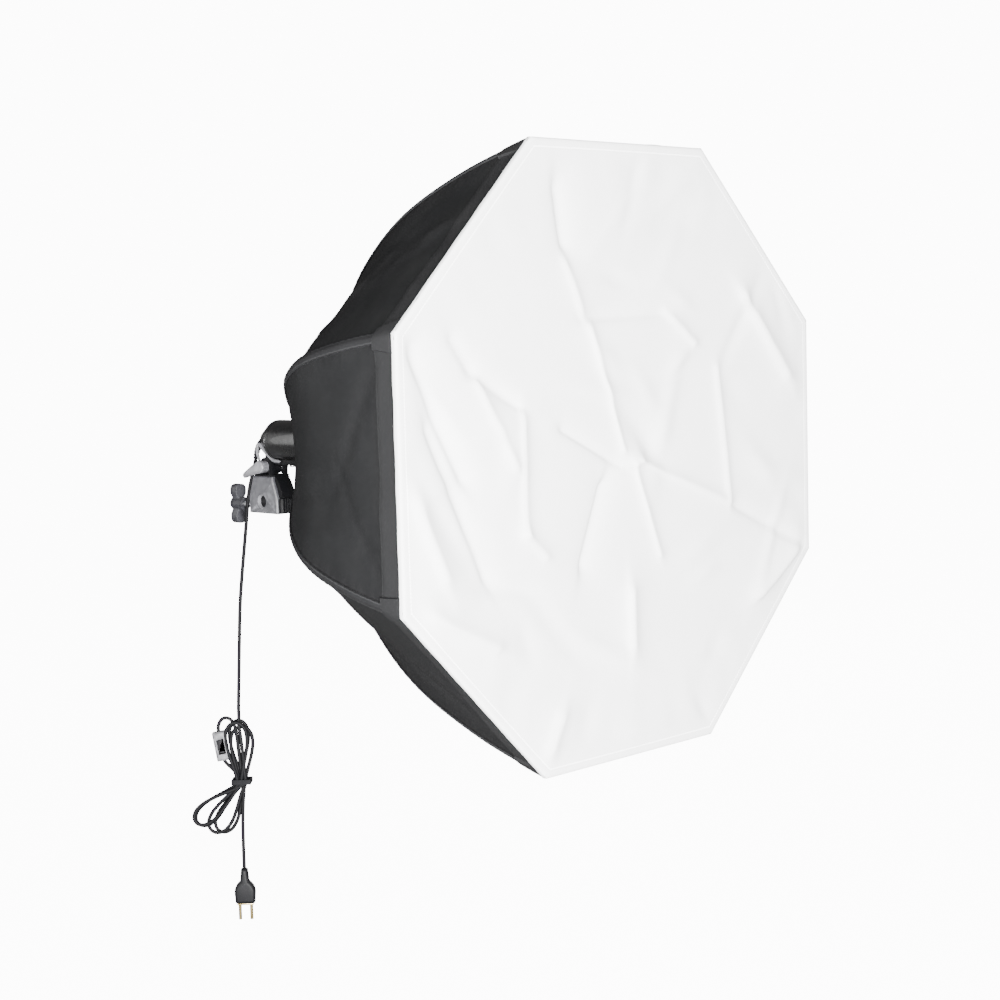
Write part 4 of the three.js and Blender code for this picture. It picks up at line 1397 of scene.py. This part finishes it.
    def build(self, finishes: Finishes) -> Piece:
        grid, uv = self.grid()
        rows, columns = grid.shape[:2]
        faces = grid_quads(rows, columns, wrap=True).tolist()
        centre = rows * columns
        j = np.arange(columns)
        fan = np.stack([np.full(columns, centre), (j + 1) % columns, j], axis=1)
        middle = grid[0].mean(0)
        points = np.vstack([grid.reshape(-1, 3), middle])
        uv = np.vstack([uv.reshape(-1, 2), [[self.half_flat, 0]]])
        piece = make_piece("front_diffuser", points, faces + fan.tolist(), [finishes.diffuser],
                           Body.DIFFUSER, uv=uv, outward=False)
        towards_viewer = piece.data.polygons[len(faces)].normal.y < 0
        if not towards_viewer:
            piece.data.flip_normals()
        wall = piece.modifiers.new("cloth", "SOLIDIFY")
        wall.thickness = self.cloth
        wall.offset = -1.0
        applied(piece)
        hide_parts("diffuser")
        return piece


# ------------------------------------------------------------------ ribs and hub


@dataclass
class RibsAndHub:
    """Eight sprung rods pinned to a wire ring that two hub plates grip, and their trim."""

    lathe: Lathe
    shell: ShellCloth
    rod: float = 0.0024
    inset: float = 0.005

    def rod_path(self, rib: int) -> Array:
        """A rod's line: the profile moved in by the inset, from the pivot to the rim."""
        a = self.shell.turn(rib)
        t = np.linspace(0.93, 0.03, 30)
        knots = self.shell.knots()
        places = even_spline(knots, t)
        slope = unit(np.gradient(places, axis=0))
        depth = places[:, 0] - slope[:, 1] * self.inset
        radius = places[:, 1] + slope[:, 0] * self.inset
        depth = np.concatenate([[self.shell.pivot_depth - 0.001], depth])
        radius = np.concatenate([[self.shell.pivot_r + 0.001], radius])
        points = np.stack([radius * np.cos(a), self.shell.face_y + depth,
                           self.shell.axis_z + radius * np.sin(a)], axis=1)
        return smooth_path(points, 0.006)

    def build(self, finishes: Finishes) -> None:
        """Makes the rods, their eyes and tips, the hub plates, ring, lock ring and cuff."""
        for rib in range(RIBS):
            path = self.rod_path(rib)
            taper = np.linspace(1.0, 0.8, len(path))
            rings = carried_ring(path, self.rod * taper, 16, self.shell.round_axis(rib))
            points, faces = capped_tube(rings)
            rod = make_piece(f"rib_rod_{rib + 1}", points, faces, [finishes.rod], rib_body(rib))
            flat_angle(rod, 50)
            self.eye(rib, finishes)
            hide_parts(f"rib_{rib + 1}")
            self.tip(rib, path, finishes)
        for node in ("hub_plate_front", "hub_plate_rear"):
            refined(node, f"{node}_pressed", 0.0005, finishes.steel, Body.HEAD, Slot.STEEL)
        self.wire_ring(finishes)
        self.lock_ring(finishes)
        self.cuff(finishes)

    def eye(self, rib: int, finishes: Finishes) -> Piece:
        """The rolled eye of a rod round the wire ring: a torus about the ring's own line.

        It is (R + r cos q) turned about the direction round the lamp axis, plus r sin q along it.
        """
        a = self.shell.turn(rib)
        centre = np.array([self.shell.pivot_r * np.cos(a), self.shell.face_y + self.shell.pivot_depth,
                           self.shell.axis_z + self.shell.pivot_r * np.sin(a)])
        radial = np.array([np.cos(a), 0.0, np.sin(a)])
        rows, sides, big, small = 28, 14, 0.0030, 0.0010
        p = np.linspace(0, 2 * np.pi, rows, endpoint=False)[:, None, None]
        q = np.linspace(0, 2 * np.pi, sides, endpoint=False)[None, :, None]
        reach = big + small * np.cos(q)
        grid = (centre + reach * np.cos(p) * radial + reach * np.sin(p) * np.array([0, 1.0, 0])
                + 2.4 * small * np.sin(q) * self.shell.round_axis(rib))
        quads = grid_quads(rows + 1, sides, wrap=True) % (rows * sides)
        return make_piece(f"rib_eye_{rib + 1}", grid.reshape(-1, 3), quads.tolist(),
                          [finishes.rod], rib_body(rib))

    def tip(self, rib: int, path: Array, finishes: Finishes) -> Piece:
        """The ball cap on a rod's end, with a short sleeve behind it.

        The ball's radius is sqrt(R^2 - x^2) at x along the rod, and the sleeve's is constant.
        """
        lo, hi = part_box(f"rib_tip_{rib + 1}")
        centre = np.array((lo + hi) / 2)
        back = unit(path[-3] - path[-1])
        big, sleeve, length = 0.0034, 0.0029, 0.0115
        q = np.linspace(0.06, 1, 20)[:, None]
        along = centre[None, :] + (-big + length * q) * back[None, :]
        ball = np.sqrt(np.clip(big**2 - (-big + length * q[:, 0])**2, 1e-9, None))
        radius = np.where(q[:, 0] > 0.42, sleeve, np.maximum(ball, 0.0006))
        points, faces = capped_tube(carried_ring(along, radius, 18, self.shell.round_axis(rib)))
        cap = make_piece(f"rib_end_cap_{rib + 1}", points, faces, [finishes.plastic],
                         rib_body(rib))
        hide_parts(f"rib_tip_{rib + 1}")
        return flat_angle(cap, 50)

    def wire_ring(self, finishes: Finishes) -> Piece:
        """The wire ring that the eyes turn on: a plain torus."""
        q = np.linspace(0, 2 * np.pi, 16, endpoint=False)
        depth = self.shell.pivot_depth / MM + 1.5 * np.sin(q)
        profile = np.stack([self.shell.pivot_r / MM + 1.5 * np.cos(q), depth], axis=1)
        ring = self.lathe.turn("rib_wire_ring", profile, finishes.steel, Body.HEAD, Slot.STEEL)
        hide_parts("rib_pivot_ring")
        return ring

    def lock_ring(self, finishes: Finishes) -> Piece:
        """The threaded ring behind the hub, with finger flutes cut as 0.6 |sin 12a|."""
        profile = self.lathe.rounded([(24.4, 426.6), (33, 426.6), (33, 432.5), (31.4, 434), (24.4, 434)])
        a = np.linspace(0, 2 * np.pi, self.lathe.segments, endpoint=False)[None, :]
        flute = -0.6 * np.abs(np.sin(12 * a)) * (profile[:, :1] > 30)
        ring = self.lathe.turn("hub_lock_ring", profile, finishes.plastic, Body.HEAD,
                               Slot.PLASTIC, ripple=flute)
        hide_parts("lock_ring")
        return ring

    def cuff(self, finishes: Finishes) -> Piece:
        """The gathered cloth cuff from the shell's neck to the holder's barrel.

        Its radius takes gathers of A sin(na + drift), most where it is drawn in.
        """
        outer = [(65.5, 426.5), (66.5, 431), (64, 435), (60, 438), (52, 441), (44, 443.5),
                 (36, 446), (31.5, 450), (29, 455)]
        inner = [(24.9, 455.4), (24.7, 454.0), (27.6, 453.6), (34.6, 444.4), (43, 441.9),
                 (51, 439.4), (59, 436.4), (64.6, 430.4), (64, 426.5)]
        loop = np.array(outer + inner, float)
        t = np.linspace(0, len(loop), 5 * len(loop), endpoint=False)
        base = np.floor(t).astype(int) % len(loop)
        w = (t - np.floor(t))[:, None]
        profile = loop[base] * (1 - w) + loop[(base + 1) % len(loop)] * w
        a = np.linspace(0, 2 * np.pi, self.lathe.segments, endpoint=False)[None, :]
        share = bump((62 - profile[:, :1]) / 20) * bump((profile[:, :1] - 26) / 5)
        gather = share * (0.9 * np.sin(21 * a + 1.3 * np.sin(3 * a)) + 0.5 * np.sin(34 * a + 2))
        piece = self.lathe.turn("neck_cuff_gathered", profile, finishes.cuff, Body.HEAD,
                                Slot.SHELL, ripple=gather)
        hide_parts("neck_cuff")
        run = np.concatenate([[0], np.cumsum(np.linalg.norm(np.diff(profile, axis=0), axis=1))]) * MM
        add_map(piece.data, np.stack(np.broadcast_arrays(run[:, None], 0.05 * a), axis=-1))
        return piece


# ------------------------------------------------------------------ lamp holder and bulb


@dataclass
class LampHolder:
    """The gloss black barrel and rear cap, with the lamp socket inside."""

    lathe: Lathe

    def build(self, finishes: Finishes) -> None:
        """Makes the barrel, cap, insulator, screw shell, contact and strain relief."""
        turn, soft = self.lathe.turn, self.lathe.rounded
        barrel = turn("holder_barrel", soft([
            (21, 408), (29, 408), (29, 413.4), (24.6, 413.6), (24, 415), (24, 458), (23.5, 458.7),
            (23.5, 460.3), (24, 461), (24, 534), (23.4, 534.8), (23.4, 536.2), (24, 537),
            (23.9, 540), (21, 540),
        ], 0.5), finishes.gloss, Body.HEAD, Slot.GLOSS)
        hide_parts("holder_shell")
        cap = turn("holder_rear_cap", soft([
            (24, 540.3), (23.6, 542.5), (21.6, 545.4), (10.4, 564.4), (8.6, 566), (3.2, 566),
            (3.2, 563), (6, 563), (20.8, 540.3),
        ], 1.0, 4), finishes.gloss, Body.HEAD, Slot.GLOSS)
        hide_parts("rear_cap")
        insulator = turn("socket_insulator_glazed", soft([
            (14.8, 416), (20.7, 416), (20.7, 458), (6, 458), (6, 454), (14.8, 454)],
            0.8), finishes.ceramic, Body.HEAD, Slot.CERAMIC)
        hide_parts("socket_insulator")
        self.screw_shell("socket_thread", "socket_screw_shell", 13.75, 0.7, 424.2, 449.8, finishes)
        contact = turn("centre_contact_spring", soft([
            (0, 451.6), (3.9, 451.6), (3.9, 453), (2.2, 455), (2.2, 463), (0, 463)],
            0.4, closed=False), finishes.brass, Body.HEAD, Slot.BRASS, closed=False)
        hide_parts("centre_contact")
        self.strain_relief(finishes)

    def screw_shell(self, name: str, node: str, radius: float, wall: float, front: float,
                    rear: float, finishes: Finishes) -> Piece:
        """The rolled thread: radius + 0.3 cos(2 pi depth / pitch - a), inside and out.

        Args:
            name: The piece's name.
            node: The CAD node it stands for.
            radius: Its mean inner radius in millimetres.
            wall: Its thickness in millimetres.
            front: Depth of its front end.
            rear: Depth of its rear end.
            finishes: The materials.
        Returns:
            The piece.
        """
        rows = 44
        depth = np.linspace(front, rear, rows)
        a = np.linspace(0, 2 * np.pi, self.lathe.segments, endpoint=False)[None, :]
        wave = 0.3 * np.cos(2 * np.pi * depth[:, None] / THREAD_PITCH - a)
        profile = np.concatenate([np.stack([np.full(rows, radius), depth], axis=1),
                                  np.stack([np.full(rows, radius + wall), depth[::-1]], axis=1)])
        ripple = np.concatenate([wave, wave[::-1]])
        piece = self.lathe.turn(name, profile, finishes.brass, Body.HEAD, Slot.BRASS, ripple=ripple)
        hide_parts(node)
        return piece

    def strain_relief(self, finishes: Finishes) -> Piece:
        """The tapered relief where the cord leaves the cap, with shallow flex rings.

        Its radius falls from 4.6 to 3.1 mm, less 0.45 mm in each groove.
        """
        route = np.array([(0, 8.6, 86), (-0.1, 11, 85.9), (-1.2, 17, 82), (-3.2, 21, 74),
                          (-4.6, 22.6, 64)]) * MM
        path = smooth_path(route, 0.0006)
        t = np.linspace(0, 1, len(path))
        groove = bump((np.sin(2 * np.pi * 8 * t) - 0.2) / 0.6) * (t > 0.16) * (t < 0.94)
        radius = (4.6 - 1.5 * t - 0.45 * groove) * MM
        reference = np.array([1.0, -0.2, 0.1])
        points, faces = capped_tube(carried_ring(path, radius, 24, reference))
        piece = make_piece("cord_strain_relief", points, faces, [finishes.relief], Body.HEAD)
        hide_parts("strain_relief")
        return flat_angle(piece, 60)


@dataclass
class Bulb:
    """The lamp: a screw base, a ribbed housing and an opal globe."""

    lathe: Lathe

    def build(self, finishes: Finishes) -> None:
        """Makes the base, housing and globe."""
        soft, turn = self.lathe.rounded, self.lathe.turn
        depth = np.linspace(424, 444, 40)
        a = np.linspace(0, 2 * np.pi, self.lathe.segments, endpoint=False)[None, :]
        body = np.stack([np.full(len(depth), 12.7), depth], axis=1)
        profile = np.vstack([[0, 423], [12.4, 423], body, [9, 448.5], [4, 449], [4, 451], [0, 451]])
        wave = 0.35 * np.cos(2 * np.pi * depth[:, None] / THREAD_PITCH - a)
        flat = np.zeros((1, self.lathe.segments))
        ripple = np.concatenate([flat, flat, wave, flat, flat, flat, flat])
        base = turn("bulb_screw_base", profile, finishes.brass, Body.BULB, Slot.BRASS, closed=False,
                    ripple=ripple)
        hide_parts("bulb_cap")
        outline = soft([(0, 352.4), (28.8, 352.4), (28, 365), (20, 398), (14.5, 412), (13.4, 420),
                        (13.4, 422.7), (0, 422.7)], 3, 6, closed=False)
        fins = 0.5 * (np.abs(np.sin(18 * a)) - 1) * bump((outline[:, :1] - 14) / 4)
        housing = turn("bulb_ballast_housing", outline, finishes.base, Body.BULB, Slot.BASE,
                       closed=False, ripple=fins)
        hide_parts("bulb_housing")
        angle = np.linspace(0, np.pi * 0.64, 40)
        globe = np.stack([31 * np.sin(angle), 289 + 31 * (1 - np.cos(angle))], axis=1)
        closed = np.vstack([globe, [28.6, 352], [0, 352]])
        glass = turn("bulb_opal_globe", closed, finishes.opal, Body.BULB, Slot.OPAL, closed=False)
        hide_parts("bulb_globe")


# ------------------------------------------------------------------ stand bracket


@dataclass
class Bracket:
    """The stand block with its clamp, the tilt joint and the arm under the holder."""

    edge: float = 0.0011
    cheek_x: float = 11.2
    leg_x: float = 14.9
    bore_y: float = 0.003
    bore_z: float = 0.014

    def build(self, finishes: Finishes) -> None:
        """Makes each bracket piece as its CAD shape with broken edges, then the trim on them."""
        f = finishes
        rows = [
            ("stand_block", "stand_block_cast", self.edge, f.casting, Body.STAND, Slot.CASTING),
            ("front_jaw", "front_grip_jaw", 0.0005, f.plastic, Body.STAND, Slot.PLASTIC),
            ("clamp_screw", "clamp_screw_turned", 0.0005, f.steel, Body.KNOB, Slot.STEEL),
            ("clamp_knob", "clamp_knob_winged", 0.0012, f.knob, Body.KNOB, Slot.CASTING),
            ("tilt_knuckle", "tilt_knuckle_moulded", 0.0008, f.plastic, Body.STAND, Slot.PLASTIC),
            ("tilt_bolt", "tilt_bolt_hex", 0.0005, f.steel, Body.STAND, Slot.STEEL),
            ("friction_washer_left", "tilt_washer_left", 0.0003, f.steel, Body.STAND, Slot.STEEL),
            ("friction_washer_right", "tilt_washer_right", 0.0003, f.steel, Body.STAND, Slot.STEEL),
            ("tilt_lever", "tilt_lever_cast", 0.0008, f.arm_highlight_rim, Body.LEVER, Slot.CASTING),
            ("head_arm", "head_arm_cast", self.edge, f.plastic, Body.HEAD, Slot.CASTING),
            ("arm_screw", "arm_screw_pan", 0.0006, f.steel, Body.HEAD, Slot.STEEL),
        ]
        for row in rows:
            refined(*row)
        # The arm rims and bore rings are painted highlight; the discs deep in the bores are painted shade.
        for side, label in ((-1, "left"), (1, "right")):
            self.arm_highlight_rim(side, label, f)
            self.bore_highlight_ring(side, label, f)
        self.rear_skirt(f)

    def rear_skirt(self, finishes: Finishes) -> Piece:
        """The knuckle's moulded skirt over the rear of the block's top: a rounded wedge.

        Its top runs down from behind the ears as a quarter of a cosine.

        Args:
            finishes: The materials.
        Returns:
            The skirt.
        """
        half, low, end, rise = 12.0, 44.15, 46.0, 6.6
        y = np.linspace(6.2, 17.4, 15)
        top = end + rise * np.cos((y - y[0]) / (y[-1] - y[0]) * np.pi / 2)
        round_off = np.array([(-1, 0), (-1, 0.86), (-0.94, 0.97), (-0.86, 1), (0.86, 1), (0.94, 0.97),
                              (1, 0.86), (1, 0)])
        x = np.broadcast_to(round_off[None, :, 0] * half, (len(y), len(round_off)))
        z = low + (top[:, None] - low) * round_off[None, :, 1]
        grid = np.stack([x, np.broadcast_to(y[:, None], x.shape), z], axis=-1) * MM
        points, faces = capped_tube(grid)
        return flat_angle(make_piece("knuckle_skirt", points, faces, [finishes.plastic], Body.STAND), 40)

    def arm_highlight_rim(self, side: int, label: str, finishes: Finishes) -> Piece:
        """A bright rim on the arm's cheek: a painted highlight along the arm's edge.

        It runs along under the barrel, over the rear and down outside the ear, and keeps outside
        the ear's circle about the tilt bolt, so the head can tilt.

        Args:
            side: -1 for the left cheek, 1 for the right.
            label: The word for that side.
            finishes: The materials.
        Returns:
            The rim.
        """
        near, far = self.cheek_x, self.leg_x
        route = [(near, -31, 62.6), (near, -26, 62.8), (near, -20, 63.4), (near, -14, 66.3),
                 (near, -10, 69.0), (near, -6, 71.8), (near, -2, 74.8), (near, 3, 79.2),
                 (near + 0.3, 6.0, 82.0), (near + 1.6, 8.2, 80.6), (far - 1.2, 7.6, 76),
                 (far, 6.0, 71), (far, 4.2, 66.5), (far, 2.6, 63)]
        path = smooth_path(np.array(route) * MM * np.array([side, 1, 1]), 0.001)
        t = np.linspace(0, 1, len(path))
        radius = (2.1 - 0.6 * bump((t - 0.8) / 0.2) - 0.9 * bump((0.06 - t) / 0.06)) * MM
        points, faces = capped_tube(carried_ring(path, radius, 14, np.array([1.0, 0, 0])))
        piece = make_piece(f"arm_highlight_rim_{label}", points, faces, [finishes.arm_highlight_rim], Body.HEAD)
        return flat_angle(piece, 50)

    def bore_highlight_ring(self, side: int, label: str, finishes: Finishes) -> Piece:
        """A bright ring at one mouth of the cross bore, a painted highlight on the bore's rim, with a black
        disc at its inner end that paints the shade deep in the bore.

        The ring is turned about the bore's axis.

        Args:
            side: -1 for the left mouth, 1 for the right.
            label: The word for that side.
            finishes: The materials.
        Returns:
            The ring.
        """
        outer, wall, near, far, steps = 8.45, 0.9, 13.3, 8.6, 64
        section = np.array([(outer, near), (outer - wall + 0.3, near), (outer - wall, near - 0.4),
                            (outer - wall, far), (outer, far)])
        a = np.linspace(0, 2 * np.pi, steps, endpoint=False)[None, :]
        r = section[:, :1] * MM
        x = np.broadcast_to(section[:, 1:] * MM * side, (len(section), steps))
        grid = np.stack([x, self.bore_y + r * np.cos(a), self.bore_z + r * np.sin(a)], axis=-1)
        quads = grid_quads(len(section) + 1, steps, wrap=True) % (len(section) * steps)
        piece = make_piece(f"bore_highlight_ring_{label}", grid.reshape(-1, 3), quads.tolist(),
                           [finishes.arm_highlight_rim], Body.STAND)
        # A black disc deep in the bore: painted shade.
        shade_disc_r = 7.6
        ends = np.array([(far, 0, 0), (far + 0.5, 0, 0), (far + 0.9, 0, 0)]) * MM * side
        ends = ends + np.array([0, self.bore_y, self.bore_z])
        radii = np.array([shade_disc_r, shade_disc_r, shade_disc_r - 0.6]) * MM
        points, faces = capped_tube(carried_ring(ends, radii, 48, np.array([0, 0, 1.0])))
        cap = make_piece(f"bore_shade_disc_{label}", points, faces, [finishes.plastic], Body.STAND)
        flat_angle(cap, 40)
        return flat_angle(piece, 40)


@dataclass
class CordFittings:
    """The hank's tie, the inline switch and the plug."""

    def build(self, finishes: Finishes) -> list[Piece]:
        """Makes the fittings.

        Returns:
            The pieces that are on the cord.
        """
        f = finishes
        rows = [
            ("hank_tie", "hank_tie_band", 0.0012, f.relief, Body.STAND, Slot.PLASTIC),
            ("switch_housing", "switch_case", 0.0016, f.light_plastic, Body.STAND, Slot.CASTING),
            ("switch_rocker", "switch_rocker_key", 0.0005, f.plastic, Body.ROCKER, Slot.PLASTIC),
            ("plug_body", "plug_moulding", 0.0016, f.plastic, Body.STAND, Slot.PLASTIC),
            ("plug_pins", "plug_contact_pins", 0.0004, f.brass, Body.STAND, Slot.BRASS),
        ]
        return [refined(*row) for row in rows]


# ------------------------------------------------------------------ the whole softbox


def main() -> None:
    """Builds the camera and the cord first, then the cloth, the head, the bracket and the studio."""
    logging.basicConfig(level=logging.INFO, format="%(name)s %(message)s")
    studio = Studio()
    studio.camera()
    low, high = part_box("diffuser")
    half_flat = (high.x - low.x) / 2
    axis_z = (high.z + low.z) / 2
    face_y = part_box("shell_gore_1")[0].y
    finishes = Finishes()
    fittings = CordFittings().build(finishes)
    MainsCord().build(finishes, fittings)
    shell = ShellCloth(half_flat, axis_z, face_y)
    shell.build(finishes)
    Diffuser(half_flat, axis_z, face_y).build(finishes)
    lathe = Lathe(axis_z, face_y)
    RibsAndHub(lathe, shell).build(finishes)
    LampHolder(lathe).build(finishes)
    Bulb(lathe).build(finishes)
    Bracket().build(finishes)
    studio.build(lowest=CAD_BOX[0][2])


if __name__ == "__main__":
    main()
